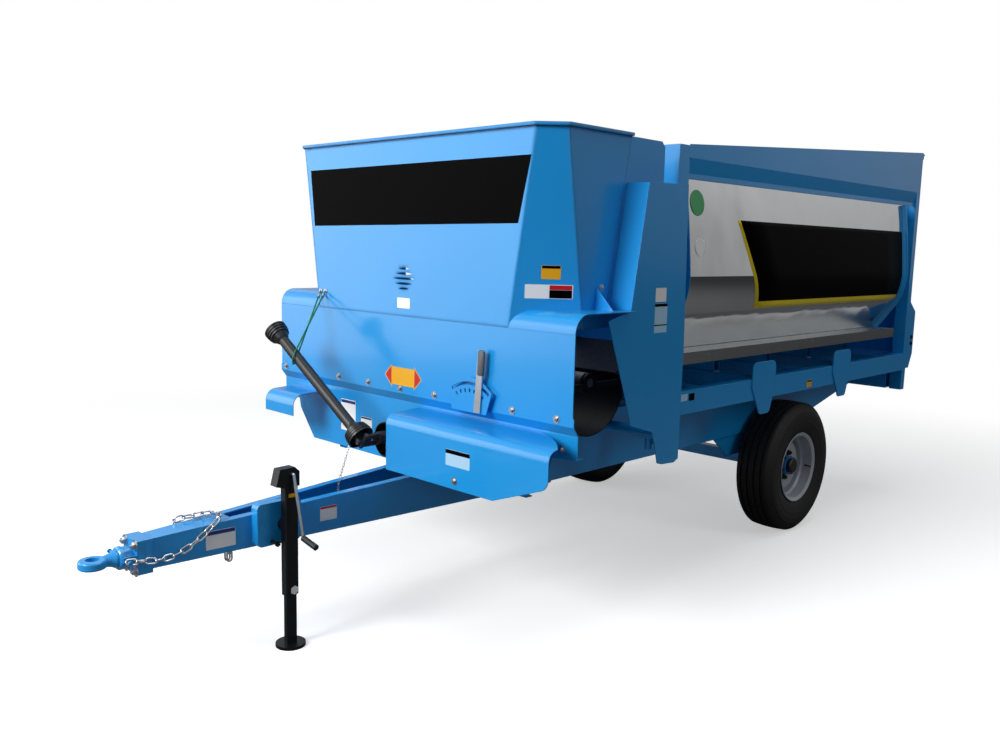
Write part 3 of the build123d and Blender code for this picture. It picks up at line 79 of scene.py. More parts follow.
def srgb(code):
    """A hex colour as linear red, green, blue and 1."""
    channels = [int(code[i:i + 2], 16) / 255 for i in (1, 3, 5)]
    return [c / 12.92 if c <= 0.04045 else ((c + 0.055) / 1.055) ** 2.4 for c in channels] + [1.0]


def add_node(tree, kind, sockets=None, **settings):
    """A node with its settings, and its inputs set to a value or linked from another node's output."""
    made = tree.nodes.new(kind)
    for name, value in settings.items():
        setattr(made, name, value)
    for name, value in (sockets or {}).items():
        if isinstance(value, bpy.types.NodeSocket):
            tree.links.new(value, made.inputs[name])
        else:
            made.inputs[name].default_value = value
    return made


def new_finish(name, **sockets):
    """A material with one Principled shader, its sockets given by name."""
    finish = bpy.data.materials.new(name)
    finish.use_nodes = True
    tree = finish.node_tree
    tree.nodes.clear()
    sockets = {key.replace("_", " "): value for key, value in sockets.items()}
    shader = add_node(tree, "ShaderNodeBsdfPrincipled", sockets)
    add_node(tree, "ShaderNodeOutputMaterial", {"Surface": shader.outputs[0]})
    return finish, tree, shader


def grain(tree, size, detail=3.0, stretch=(1, 1, 1), **settings):
    """Noise whose features are about size metres across, in the object's own frame."""
    place = add_node(tree, "ShaderNodeTexCoord").outputs["Object"]
    scaled = add_node(tree, "ShaderNodeVectorMath", {0: place, 1: stretch}, operation="MULTIPLY").outputs[0]
    return add_node(tree, "ShaderNodeTexNoise", {"Vector": scaled, "Scale": 1 / size, "Detail": detail},
                    **settings)


def spread(tree, value, low, high):
    """A 0 to 1 value turned to the range low to high."""
    return add_node(tree, "ShaderNodeMapRange", {0: value, 3: low, 4: high}).outputs[0]


def blend(tree, share, first, second):
    """A colour between two colours, by a 0 to 1 share of the second."""
    return add_node(tree, "ShaderNodeMix", {"Factor": share, "A": first, "B": second},
                    data_type="RGBA").outputs["Result"]


def dent(tree, shader, height, depth, strength=1.0):
    """Bump of the given depth in metres from a 0 to 1 height."""
    bump = add_node(tree, "ShaderNodeBump", {"Height": height, "Distance": depth, "Strength": strength})
    tree.links.new(bump.outputs[0], shader.inputs["Normal"])
    return bump


def enamel(name, colour, shade, roughness=0.24, bend=0.003):
    """Sprayed two-pack enamel on sheet steel: a deep even gloss with faint orange peel and slightly wavy
    panels. Folded edges look as round as the sheet's bend."""
    finish, tree, shader = new_finish(name, Roughness=roughness, Coat_Weight=0.25, Coat_Roughness=0.08,
                                      IOR=1.5)
    drift = grain(tree, 0.45, 2.0)
    mixed = blend(tree, spread(tree, drift.outputs[0], 0.0, 0.5), srgb(colour), srgb(shade))
    tree.links.new(mixed, shader.inputs["Base Color"])
    peel = grain(tree, 0.004, 2.0)
    wave = grain(tree, 0.35, 1.0)
    edge = add_node(tree, "ShaderNodeBevel", {"Radius": bend}, samples=4)
    soft = add_node(tree, "ShaderNodeBump", {"Height": wave.outputs[0], "Distance": 0.006, "Strength": 0.35,
                                             "Normal": edge.outputs[0]})
    fine = dent(tree, shader, peel.outputs[0], 0.0001, 0.35)
    tree.links.new(soft.outputs[0], fine.inputs["Normal"])
    return finish


def polished_stainless():
    """Bright-annealed stainless sheet: a mirror with a slow waviness and very fine rolling lines."""
    finish, tree, shader = new_finish("polished_stainless", Base_Color=srgb("#d3d5d6"), Metallic=1.0)
    lines = grain(tree, 0.0015, 2.0, stretch=(1, 0.02, 1))
    tree.links.new(spread(tree, lines.outputs[0], 0.05, 0.11), shader.inputs["Roughness"])
    wave = grain(tree, 0.30, 1.5)
    dent(tree, shader, wave.outputs[0], 0.012, 0.4)
    return finish


def brushed_stainless():
    """Cold-rolled stainless left as rolled: soft lengthwise sheen."""
    finish, tree, shader = new_finish("rolled_stainless", Base_Color=srgb("#c3c6c8"), Metallic=1.0,
                                      Anisotropic=0.4)
    lines = grain(tree, 0.002, 4.0, stretch=(1, 0.02, 1))
    tree.links.new(spread(tree, lines.outputs[0], 0.16, 0.32), shader.inputs["Roughness"])
    dent(tree, shader, lines.outputs[0], 0.00005, 0.3)
    return finish


def zinc_plate(name="zinc_plate", pale="#c9ccd0", dull="#9ea3a8", roughness=0.25):
    """Bright zinc plating on small steel parts: pale, slightly cloudy metal."""
    finish, tree, shader = new_finish(name, Metallic=1.0)
    cloud = grain(tree, 0.012, 3.0)
    tree.links.new(blend(tree, cloud.outputs[0], srgb(pale), srgb(dull)), shader.inputs["Base Color"])
    tree.links.new(spread(tree, cloud.outputs[0], roughness, roughness + 0.17), shader.inputs["Roughness"])
    return finish


def forged_steel(name, colour, worn):
    """Forged or hot-rolled steel with its dark scale, rubbed brighter in places; near black, it is painted
    shade.
    """
    finish, tree, shader = new_finish(name, Metallic=0.75)
    scale = grain(tree, 0.02, 5.0)
    mixed = blend(tree, spread(tree, scale.outputs[0], -0.3, 1.2), srgb(colour), srgb(worn))
    tree.links.new(mixed, shader.inputs["Base Color"])
    tree.links.new(spread(tree, scale.outputs[0], 0.55, 0.35), shader.inputs["Roughness"])
    dent(tree, shader, scale.outputs[0], 0.0008, 0.3)
    return finish


def black_enamel():
    """Satin black enamel of the jack, with a few dusty rubs."""
    finish, tree, shader = new_finish("jack_black_enamel", IOR=1.5, Specular_IOR_Level=0.3)
    rub = grain(tree, 0.03, 4.0)
    mixed = blend(tree, spread(tree, rub.outputs[0], -0.5, 0.8), srgb("#040506"), srgb("#121316"))
    tree.links.new(mixed, shader.inputs["Base Color"])
    tree.links.new(spread(tree, rub.outputs[0], 0.28, 0.45), shader.inputs["Roughness"])
    return finish


def tyre_rubber():
    """Carbon-black tyre rubber: matt, slightly dusty, with the fine ribs of the mould."""
    finish, tree, shader = new_finish("tyre_rubber", IOR=1.52, Specular_IOR_Level=0.3)
    dust = grain(tree, 0.05, 5.0)
    mixed = blend(tree, spread(tree, dust.outputs[0], -0.4, 0.9), srgb("#09090a"), srgb("#161617"))
    tree.links.new(mixed, shader.inputs["Base Color"])
    tree.links.new(spread(tree, dust.outputs[0], 0.55, 0.75), shader.inputs["Roughness"])
    fine = grain(tree, 0.003, 2.0)
    dent(tree, shader, fine.outputs[0], 0.0003, 0.3)
    return finish


def moulded_plastic(name, colour, roughness=0.42):
    """Injection-moulded polyethylene: dull, with a fine spark-eroded grain."""
    finish, tree, shader = new_finish(name, Base_Color=srgb(colour), IOR=1.5)
    fine = grain(tree, 0.002, 2.0)
    rough = spread(tree, fine.outputs[0], roughness - 0.05, roughness + 0.08)
    tree.links.new(rough, shader.inputs["Roughness"])
    dent(tree, shader, fine.outputs[0], 0.00015, 0.3)
    return finish


def printed_vinyl(name, colour, roughness=0.3, shine=0.5):
    """Calendered vinyl film with a printed face: an even colour with a low sheen."""
    finish, tree, shader = new_finish(name, Base_Color=srgb(colour), IOR=1.45, Specular_IOR_Level=shine)
    fine = grain(tree, 0.02, 2.0)
    tree.links.new(spread(tree, fine.outputs[0], roughness, roughness + 0.08), shader.inputs["Roughness"])
    dent(tree, shader, fine.outputs[0], 0.0002, 0.15)
    return finish


def braided_cord():
    """Thin braided polypropylene cord: dull green with the slanting ridges of its strands."""
    finish, tree, shader = new_finish("green_cord", IOR=1.49, Roughness=0.6)
    place = add_node(tree, "ShaderNodeTexCoord").outputs["Object"]
    ridges = add_node(tree, "ShaderNodeTexWave", {"Vector": place, "Scale": 150.0, "Distortion": 0.6},
                      bands_direction="DIAGONAL")
    # Darker green in the grooves between the strands, in step with the bump: painted shade
    mixed = blend(tree, ridges.outputs[1], srgb("#0b5a38"), srgb("#1d8a5a"))
    tree.links.new(mixed, shader.inputs["Base Color"])
    dent(tree, shader, ridges.outputs[1], 0.0006, 0.6)
    return finish


def capped_hub():
    """The hub's blue enamel, and the black plastic cap on its nose, told apart by how far out they lie."""
    finish, tree, shader = new_finish("hub_enamel_and_cap", IOR=1.5)
    place = add_node(tree, "ShaderNodeTexCoord").outputs["Object"]
    across = add_node(tree, "ShaderNodeSeparateXYZ", {0: place}).outputs[0]
    out = add_node(tree, "ShaderNodeMath", {0: across}, operation="ABSOLUTE").outputs[0]
    cap = add_node(tree, "ShaderNodeMath", {0: out, 1: CAP_FROM}, operation="GREATER_THAN").outputs[0]
    dirt = grain(tree, 0.02, 4.0)
    paint = blend(tree, dirt.outputs[0], srgb("#2280cc"), srgb("#1a62a4"))
    tree.links.new(blend(tree, cap, paint, srgb("#070708")), shader.inputs["Base Color"])
    tree.links.new(spread(tree, dirt.outputs[0], 0.3, 0.5), shader.inputs["Roughness"])
    return finish


CAP_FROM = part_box("hub_left")[1][0] - 0.030     # where the cap begins, from the wagon's middle

SKY_BLUE = enamel("sky_blue_enamel", "#1c97e0", "#178cd4")
BENT_BLUE = enamel("sky_blue_enamel_bent", "#1c97e0", "#178cd4", bend=0.022)
SILVER = enamel("silver_wheel_enamel", "#aeb6bf", "#9aa3ad", 0.35)
MIRROR_STEEL = polished_stainless()
ROLLED_STEEL = brushed_stainless()
ZINC = zinc_plate()
FORGED = forged_steel("forged_steel", "#3a3b3e", "#6a6b6d")
AUGER_STEEL = forged_steel("auger_steel", "#4a4b4e", "#7d7e80")
# Cross trough: near-black colours, painted shade for the trough's dark inside
TROUGH_PAINTED_SHADE = forged_steel("trough_painted_shade", "#08090a", "#131416")
JACK_BLACK = black_enamel()
RUBBER = tyre_rubber()
HUB = capped_hub()
CORD_GREEN = braided_cord()
GUARD_BLACK = moulded_plastic("guard_black_polyethylene", "#0b0c0e")
GRIP_BLACK = moulded_plastic("grip_black_vinyl", "#0d0d0e", 0.5)
GRIP_GREY = moulded_plastic("grip_grey_vinyl", "#55585a", 0.5)
VINYL_BLACK = printed_vinyl("vinyl_black", "#000001", 0.5, 0.03)
VINYL_YELLOW = printed_vinyl("vinyl_yellow", "#f5dc0a")
VINYL_WHITE = printed_vinyl("vinyl_white", "#eef0f0")
VINYL_RED = printed_vinyl("vinyl_red", "#c4161c")
VINYL_AMBER = printed_vinyl("vinyl_amber", "#e8a814")
VINYL_GREEN = printed_vinyl("vinyl_green", "#2f9d5a")
VINYL_NAVY = printed_vinyl("vinyl_navy", "#1d2f78")
VINYL_PALE = printed_vinyl("vinyl_pale_blue", "#a9d2ee")

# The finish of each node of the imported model
NODE_FINISH = {
    SKY_BLUE: ("main_beams", "side_rails", "cross_members", "axle_plates", "axle_beam", "drawbar",
               "hitch_flange", "frame_posts", "front_wall", "rear_wall", "top_bands", "rear_cover",
               "housing_sides", "front_plate", "lower_front_plate", "discharge_hoods", "deflectors",
               "discharge_tubes", "drive_shield", "small_guard", "tow_eye", "sector_plate", "jack_bracket"),
    BENT_BLUE: ("front_housing",),
    MIRROR_STEEL: ("tub_skin",),
    ROLLED_STEEL: ("side_lips", "discharge_gate"),
    TROUGH_PAINTED_SHADE: ("cross_trough",),
    AUGER_STEEL: ("auger_left", "auger_right", "auger_top", "cross_auger"),
    FORGED: ("auger_bearings", "gearbox", "pto_joint", "drive_yoke"),
    JACK_BLACK: ("jack_tube", "jack_leg"),
    ZINC: ("jack_crank", "gate_lever", "safety_chain", "guard_chain", "sling_ferrules"),
    GRIP_BLACK: ("jack_grip",),
    GUARD_BLACK: ("pto_cone", "pto_guard"),
    CORD_GREEN: ("shaft_sling",),
    RUBBER: ("tyre_left", "tyre_right"),
    SILVER: ("rim_left", "rim_right"),
    HUB: ("hub_left", "hub_right"),
}
for finish, nodes in NODE_FINISH.items():
    for node in nodes:
        thing = bpy.data.objects[node]
        thing.data.materials.clear()
        thing.data.materials.append(finish)


def new_piece(name, mesh, finish, body="wagon", smooth=False):
    """A visible piece that rides on a body."""
    if isinstance(mesh, bmesh.types.BMesh):
        data = bpy.data.meshes.new(name)
        mesh.to_mesh(data)
        mesh.free()
        mesh = data
    mesh.materials.append(finish)
    for polygon in mesh.polygons:
        polygon.use_smooth = smooth
    piece = bpy.data.objects.new(name, mesh)
    bpy.context.scene.collection.objects.link(piece)
    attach(piece, body)
    return piece


def add_bar(mesh, start, end, radius, end_radius=None, sides=16):
    """A cylinder, cone or prism from one point to another, added to an open mesh."""
    start, end = Vector(start), Vector(end)
    axis = end - start
    place = Matrix.Translation((start + end) / 2) @ axis.to_track_quat("Z", "Y").to_matrix().to_4x4()
    bmesh.ops.create_cone(mesh, cap_ends=True, segments=sides, depth=axis.length, matrix=place,
                          radius1=radius, radius2=radius if end_radius is None else end_radius)


def add_turned(mesh, profile, start, along, sides=96, closed=True):
    """A turned piece added to an open mesh: its profile as distance along the axis and radius."""
    along = Vector(along).normalized()
    place = Matrix.Translation(start) @ along.to_track_quat("Z", "Y").to_matrix().to_4x4()
    rings = []
    for k in range(sides):
        turn = 2 * math.pi * k / sides
        rings.append([mesh.verts.new(place @ Vector((r * math.cos(turn), r * math.sin(turn), d)))
                      for d, r in profile])
    count = len(profile) if closed else len(profile) - 1
    for ring, after in zip(rings, rings[1:] + rings[:1]):
        for k in range(count):
            mesh.faces.new((ring[k], after[k], after[(k + 1) % len(profile)], ring[(k + 1) % len(profile)]))


def smooth_faces(piece, sharp_above=32):
    """Smooth shading that keeps edges sharper than the given angle."""
    for polygon in piece.data.polygons:
        polygon.use_smooth = True
    piece.data.set_sharp_from_angle(angle=math.radians(sharp_above))


# Sling of cord round the parked drive shaft
CORD_WIDTH, SLING_LENGTH = 0.008, 1.037
SLING = [at(-0.692, -0.0036, 1.465), at(-0.5243, -0.2578, 1.1503), at(-0.5059, -0.2857, 1.1158),
         at(-0.4865, -0.3073, 1.1164), at(-0.4703, -0.3197, 1.1370), at(-0.4667, -0.3158, 1.1655),
         at(-0.4852, -0.2839, 1.1962), at(-0.648, -0.0036, 1.466)]


def build_sling():
    line = bpy.data.curves.new("shaft_sling_cord", "CURVE")
    line.dimensions, line.bevel_depth, line.bevel_resolution, line.resolution_u = "3D", CORD_WIDTH / 2, 4, 12
    spline = line.splines.new("NURBS")
    spline.points.add(len(SLING) - 1)
    for point, place in zip(spline.points, SLING):
        point.co = (*place, 1.0)
    spline.order_u, spline.use_endpoint_u = 3, True
    line.materials.append(CORD_GREEN)
    sling = bpy.data.objects.new("shaft_sling_cord", line)
    bpy.context.scene.collection.objects.link(sling)
    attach(sling, "wagon")
    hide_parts("shaft_sling")
    eyelets = bmesh.new()
    for end in (SLING[0], SLING[-1]):
        ring = [(0.0, 0.0055), (0.0, 0.012), (-0.002, 0.014), (-0.004, 0.012), (-0.004, 0.0055)]
        add_turned(eyelets, ring, (end.x, FRONT - 0.0002, end.z), (0, 1, 0), 24)
    smooth_faces(new_piece("sling_eyelets", eyelets, ZINC))


place_camera()
build_sling()


# Tyres: four ribs' grooves round a slightly crowned tread, and two thin rings on each wall
TYRE_HALF, TREAD_HALF, TYRE_R, BEAD_R = 0.1225, 0.086, 0.405, 0.2003
CROWN, GROOVE_HALF, GROOVE_DEEP = 0.005, 0.0055, 0.011
GROOVES = (-0.064, -0.0215, 0.0215, 0.064)
# The wall's outline from the bead to the tread: distance from the tyre's middle and radius
WALL = [(0.092, BEAD_R), (0.098, 0.222), (0.106, 0.236), (0.112, 0.262), (0.1165, 0.284),
        (0.1182, 0.2850), (0.1190, 0.290), (0.1185, 0.2945), (0.1215, 0.310), (TYRE_HALF, 0.322),
        (0.1215, 0.338), (0.1198, 0.3455), (0.1203, 0.349), (0.1180, 0.3520), (0.1130, 0.366),
        (0.1050, 0.380), (0.0970, 0.391), (0.0905, 0.3978)]


def tread_r(x):
    return TYRE_R - CROWN * (x / TREAD_HALF) ** 2


def tyre_profile():
    """Distance from the wheel's middle and radius, from one bead over the tread to the other."""
    tread = [(-TREAD_HALF, tread_r(TREAD_HALF))]
    for middle in GROOVES:
        low, high = middle - GROOVE_HALF, middle + GROOVE_HALF
        tread += [(low, tread_r(low)), (low + 0.0015, tread_r(low) - GROOVE_DEEP),
                  (high - 0.0015, tread_r(high) - GROOVE_DEEP), (high, tread_r(high))]
    tread.append((TREAD_HALF, tread_r(TREAD_HALF)))
    return [(-x, r) for x, r in WALL] + tread + WALL[::-1]


NUTS, NUT_RING = 6, 0.078


def build_wheel(hand, side):
    low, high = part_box(f"tyre_{hand}")
    middle = (Vector(low) + Vector(high)) / 2
    body = f"{hand}_wheel"
    mesh = bmesh.new()
    add_turned(mesh, tyre_profile(), middle, (side, 0, 0), 128)
    tyre = new_piece(f"ribbed_tyre_{hand}", mesh, RUBBER, body)
    smooth_faces(tyre, 38)
    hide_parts(f"tyre_{hand}")
    nuts = bmesh.new()
    face = middle + Vector((side * 0.0192, 0, 0))
    for k in range(NUTS):
        turn = 2 * math.pi * (k + 0.25) / NUTS
        spoke = Vector((0, NUT_RING * math.cos(turn), NUT_RING * math.sin(turn)))
        out = Vector((side, 0, 0))
        add_bar(nuts, face + spoke, face + spoke + out * 0.003, 0.0175, 0.0155, 24)
        add_bar(nuts, face + spoke + out * 0.003, face + spoke + out * 0.018, 0.0150, sides=6)
        add_bar(nuts, face + spoke + out * 0.018, face + spoke + out * 0.026, 0.0080, sides=16)
    new_piece(f"wheel_nuts_{hand}", nuts, GUARD_BLACK, body)
    valve = bmesh.new()
    turn = math.radians(-8)
    root = middle + Vector((side * 0.055, 0.196 * math.cos(turn), 0.196 * math.sin(turn)))
    tip = middle + Vector((side * 0.092, 0.178 * math.cos(turn), 0.178 * math.sin(turn)))
    add_bar(valve, root, tip, 0.006, 0.0045)
    add_bar(valve, tip, tip + (tip - root).normalized() * 0.012, 0.0052)
    new_piece(f"wheel_valve_{hand}", valve, GRIP_BLACK, body)


for hand, side in (("left", 1), ("right", -1)):
    build_wheel(hand, side)


# Safety chain of round wire, its links where the solid links are
BAR_NOSE, BAR_NOSE_HALF, BAR_SPREAD = -1.296, 0.047, 0.065
BAR_TOP_NOSE, BAR_TOP_RISE = 0.5615, 0.045
CHAIN_WIRE, CHAIN_PITCH, CHAIN_WIDTH, CHAIN_OFF = 0.008, 0.038, 0.030, 0.018
FLANGE_HALF, CHAIN_START = 0.062, -1.4055
RING_BACK, RING_Z = -0.942, 0.400


def bar_half(back):
    return BAR_NOSE_HALF + BAR_SPREAD * (back - BAR_NOSE)


def bar_top(back):
    return BAR_TOP_NOSE + BAR_TOP_RISE * (back - BAR_NOSE)


def beside_bar(side, back, z):
    return (side * (max(bar_half(back), FLANGE_HALF if back < BAR_NOSE + 0.025 else 0) + CHAIN_OFF), back, z)


def over_bar(x, back):
    return (x, back, bar_top(back) + CHAIN_OFF)


def round_edge(side, back):
    return (side * (bar_half(back) + CHAIN_OFF), back, bar_top(back) + CHAIN_OFF)


CHAIN_ROUTE = [beside_bar(1, CHAIN_START, 0.500), beside_bar(1, -1.350, 0.492), beside_bar(1, -1.285, 0.480),
               beside_bar(1, -1.235, 0.476), beside_bar(1, -1.190, 0.486), beside_bar(1, -1.140, 0.508),
               beside_bar(1, -1.095, 0.538), beside_bar(1, -1.062, 0.565), round_edge(1, -1.030),
               over_bar(0.038, -1.000), over_bar(0.0, -0.985), over_bar(-0.030, -1.000),
               over_bar(-0.042, -1.045), over_bar(-0.044, -1.095), round_edge(-1, -1.130),
               beside_bar(-1, -1.160, 0.552),
               beside_bar(-1, -1.195, 0.515), beside_bar(-1, -1.240, 0.488), beside_bar(-1, -1.285, 0.480),
               beside_bar(-1, -1.350, 0.490), beside_bar(-1, CHAIN_START, 0.500)]


def chain_places(route, pitch, core):
    """Link places along a route. A link's tilt is taken from the core line that the chain lies round."""
    points = [Vector(point) for point in route]
    nodes, leg, done = [points[0]], 0, 0.0
    while True:
        here, found = nodes[-1], None
        for index in range(leg, len(points) - 1):
            a, b = points[index], points[index + 1]
            along = (b - a).normalized()
            near = max((here - a).dot(along), done if index == leg else 0)
            gap = (here - a - along * (here - a).dot(along)).length
            if gap < pitch:
                ahead = (here - a).dot(along) + (pitch ** 2 - gap ** 2) ** 0.5
                if near < ahead <= (b - a).length:
                    found, leg, done = a + along * ahead, index, ahead
                    break
        if found is None:
            break
        nodes.append(found)
    places = []
    for index, (a, b) in enumerate(zip(nodes, nodes[1:])):
        along, middle = (b - a).normalized(), (a + b) / 2
        out = middle - Vector((core[0], middle.y, core[1]))
        out = (out - along * out.dot(along)).normalized()
        side = along.cross(out)
        tilt = (out + side if index % 2 else out - side).normalized()
        places.append((at(*middle), along, tilt))
    return places


def add_link(mesh, place, wire, pitch, width, around=8, turns=7):
    """One link of round wire: two half circles joined by straight sides."""
    middle, along, normal = place
    across = normal.cross(along)
    bend = (width - wire) / 2
    reach = pitch / 2 + wire / 2 - bend
    rings = []
    for end in (1, -1):
        for k in range(turns):
            turn = math.pi * (k / (turns - 1) - 0.5)
            out = along * (end * math.cos(turn)) + across * (end * math.sin(turn))
            centre = middle + along * (end * reach) + out * bend
            rings.append([mesh.verts.new(centre + out * (wire / 2 * math.cos(2 * math.pi * j / around))
                                         + normal * (wire / 2 * math.sin(2 * math.pi * j / around)))
                          for j in range(around)])
    for ring, after in zip(rings, rings[1:] + rings[:1]):
        for j in range(around):
            mesh.faces.new((ring[j], ring[(j + 1) % around], after[(j + 1) % around], after[j]))


def build_safety_chain():
    mesh = bmesh.new()
    for place in chain_places(CHAIN_ROUTE, CHAIN_PITCH, (0, 0.510)):
        add_link(mesh, place, CHAIN_WIRE, CHAIN_PITCH, CHAIN_WIDTH)
    for x in (-0.009, 0.009):
        upright = (at(x, RING_BACK, RING_Z), Vector((0, 0, 1)), Vector((1, 0, 0)))
        add_link(mesh, upright, CHAIN_WIRE, CHAIN_PITCH, CHAIN_WIDTH)
    hook_z = RING_Z + CHAIN_PITCH / 2 - 0.006
    add_bar(mesh, at(-0.016, RING_BACK, hook_z), at(0.016, RING_BACK, hook_z), 0.005)
    add_bar(mesh, at(0, RING_BACK, RING_Z + 0.006), at(0, RING_BACK, 0.4397), 0.006)
    chain = new_piece("round_link_chain", mesh, BRIGHT_ZINC)
    smooth_faces(chain, 50)
    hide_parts("safety_chain")


BRIGHT_ZINC = zinc_plate("bright_galvanised_chain", "#dfe2e5", "#8e9398", 0.10)
build_safety_chain()


WASHER = 0.0018      # thickness of a bolt's washer


def build_bolts(name, out, places, flats, height, finish, body="wagon"):
    out = Vector(out).normalized()
    mesh = bmesh.new()
    for place in places:
        washer, head, tip = (place + out * reach for reach in (WASHER, height, height + flats * 0.25))
        add_bar(mesh, place, washer, flats * 0.95, sides=24)
        add_bar(mesh, washer, head, flats / 3 ** 0.5, sides=6)
        add_bar(mesh, head, tip, flats * 0.30, flats * 0.26, sides=12)
    new_piece(name, mesh, finish, body)


JOG, SHIELD_FACE, NOSE_FACE, COVER_BACK = 0.030, -0.190, -1.358, 3.880
PLATE_ROW, PLATE_FIRST, PLATE_STEP = 1.024, -1.037, 0.2538
HOUSE_SIDE, POST_SIDE, DEFLECT_SIDE = 0.930, 0.953, 1.050
PLATE_BOLTS = [at(PLATE_FIRST + PLATE_STEP * k, 0, PLATE_ROW) for k in (0, 1, 2, 3, 4, 5, 7, 8)]
NOSE_BOLTS = [at(x, NOSE_FACE, z) for x in (-0.045, 0.045) for z in (0.444, 0.548)]
SEAM_BOLTS = ((0.345, 1.555), (0.440, 1.553))
# Bolts: each row is name, outward direction, places, across flats, head height, finish
BOLTS = [
    ("plate_row_bolts", (0, -1, 0), PLATE_BOLTS, 0.019, 0.009, ZINC),
    ("ear_bolts", (0, -1, 0), [at(1.004, JOG, 0.892), at(-1.004, JOG, 0.892)], 0.019, 0.009, ZINC),
    ("shield_bolts", (0, -1, 0), [at(0.586, SHIELD_FACE, 0.712)], 0.019, 0.009, ZINC),
    ("nose_bolts", (0, -1, 0), NOSE_BOLTS, 0.024, 0.014, ZINC),
    ("seam_bolts_left", (1, 0, 0), [at(HOUSE_SIDE, back, z) for back, z in SEAM_BOLTS], 0.017, 0.008, ZINC),
    ("cover_latch_bolts", (1, 0, 0), [at(POST_SIDE, COVER_BACK, z) for z in (1.105, 1.150)], 0.017, 0.008,
     JACK_BLACK),
    ("seam_bolts_right", (-1, 0, 0), [at(-HOUSE_SIDE, back, z) for back, z in SEAM_BOLTS], 0.017, 0.008, ZINC),
]
for row in BOLTS:
    build_bolts(*row)


# Labels and films, all blank
def face_frame(origin, across, up):
    """A face of the wagon that flat pieces lie on: its origin, its two directions and its outward normal."""
    across, up = Vector(across).normalized(), Vector(up).normalized()
    return Matrix.Translation(origin) @ Matrix((across, up, across.cross(up))).transposed().to_4x4()


def flat_sheet(name, face, outline, thickness, finish, body="wagon", round_by=0.0):
    """A thin flat sheet lying on a face: its outline in the face's own directions, its thickness outwards."""
    mesh = bmesh.new()
    ring = [mesh.verts.new((x, y, 0.0)) for x, y in outline]
    mesh.faces.new(ring)
    grown = bmesh.ops.extrude_face_region(mesh, geom=mesh.faces[:])
    top = [part for part in grown["geom"] if isinstance(part, bmesh.types.BMVert)]
    bmesh.ops.translate(mesh, vec=(0, 0, thickness), verts=top)
    if round_by:
        uprights = [e for e in mesh.edges if abs(e.verts[0].co.z - e.verts[1].co.z) > thickness / 2]
        bmesh.ops.bevel(mesh, geom=uprights, offset=round_by, segments=4, profile=0.5, affect="EDGES")
    bmesh.ops.recalc_face_normals(mesh, faces=mesh.faces[:])
    bmesh.ops.transform(mesh, matrix=face, verts=mesh.verts[:])
    return new_piece(name, mesh, finish, body)


def centred(width, height, x=0.0, y=0.0):
    return [(x - width / 2, y - height / 2), (x + width / 2, y - height / 2), (x + width / 2, y + height / 2),
            (x - width / 2, y + height / 2)]


FILM = 0.0006      # thickness of a vinyl film
FRONT_FACE = face_frame(at(0, 0, 0), (1, 0, 0), (0, 0, 1))
CORNER_FACE = face_frame(at(0.835, 0.0, 2.214), (1, 1, 0), (0.0773, -0.0773, 0.988))
LOWER_FACE = face_frame(at(0, JOG, 0), (1, 0, 0), (0, 0, 1))
SHIELD_PLANE = face_frame(at(0, SHIELD_FACE, 0), (1, 0, 0), (0, 0, 1))
DEFLECT_FACE = face_frame(at(DEFLECT_SIDE, 0, 0), (0, 1, 0), (0, 0, 1))
BAR_FACE = face_frame(at(BAR_NOSE_HALF, BAR_NOSE, 0), (BAR_SPREAD, 1, 0), (0, 0, 1))
RAIL_FACE = face_frame(at(POST_SIDE, 0, 0), (0, 1, 0), (0, 0, 1))


def on_corner(x, z):
    """A place of the slanting corner face in its own directions, from its point at x and height z."""
    point = at(x, (x - 0.835) + (2.214 - z) * 0.131 / 0.837, z)
    local = CORNER_FACE.inverted() @ point
    return local.x, local.y


# Each label is a face, its centre, width and height, its ground, and bands: finish and its box in the label's
# own shares of width and height, from the middle
LABELS = [
    ("front_label", FRONT_FACE, (0.0, 1.442), 0.095, 0.050, VINYL_WHITE, []),
    ("corner_label_amber", CORNER_FACE, on_corner(0.847, 1.619), 0.083, 0.058, VINYL_AMBER,
     [(VINYL_BLACK, (0.0, 0.38, 0.94, 0.20))]),
    ("corner_label_wide", CORNER_FACE, on_corner(0.836, 1.537), 0.205, 0.060, VINYL_WHITE,
     [(VINYL_RED, (0.245, 0.30, 0.47, 0.32)), (VINYL_BLACK, (0.245, -0.17, 0.47, 0.58))]),
    ("lower_label_tall", LOWER_FACE, (-0.487, 0.818), 0.128, 0.168, VINYL_WHITE,
     [(VINYL_NAVY, (0.0, 0.43, 0.96, 0.09))]),
    ("lower_label_small", LOWER_FACE, (-0.330, 0.801), 0.092, 0.058, VINYL_WHITE,
     [(VINYL_BLACK, (0.0, 0.40, 0.96, 0.14))]),
    ("shield_label", SHIELD_PLANE, (0.605, 0.812), 0.152, 0.072, VINYL_PALE,
     [(VINYL_BLACK, (0.0, 0.36, 1.0, 0.24))]),
    ("deflector_label_high", DEFLECT_FACE, (0.622, 1.524), 0.082, 0.062, VINYL_WHITE, []),
    ("deflector_label_low", DEFLECT_FACE, (0.628, 1.420), 0.096, 0.132, VINYL_PALE,
     [(VINYL_BLACK, (0.0, 0.44, 1.0, 0.10)), (VINYL_BLACK, (0.0, -0.24, 1.0, 0.04))]),
    ("drawbar_label_front", BAR_FACE, (0.287, 0.505), 0.128, 0.078, VINYL_WHITE,
     [(VINYL_NAVY, (0.0, 0.38, 0.97, 0.20))]),
    ("drawbar_label_rear", BAR_FACE, (0.795, 0.522), 0.086, 0.064, VINYL_WHITE,
     [(VINYL_RED, (0.0, 0.42, 0.97, 0.14))]),
    ("rail_label_front", RAIL_FACE, (1.000, 1.005), 0.060, 0.034, VINYL_PALE, []),
    ("rail_label_second", RAIL_FACE, (1.068, 1.003), 0.050, 0.036, VINYL_BLACK, []),
    ("rail_label_middle", RAIL_FACE, (2.338, 0.955), 0.060, 0.042, VINYL_AMBER,
     [(VINYL_BLACK, (0.0, 0.35, 0.94, 0.20))]),
]
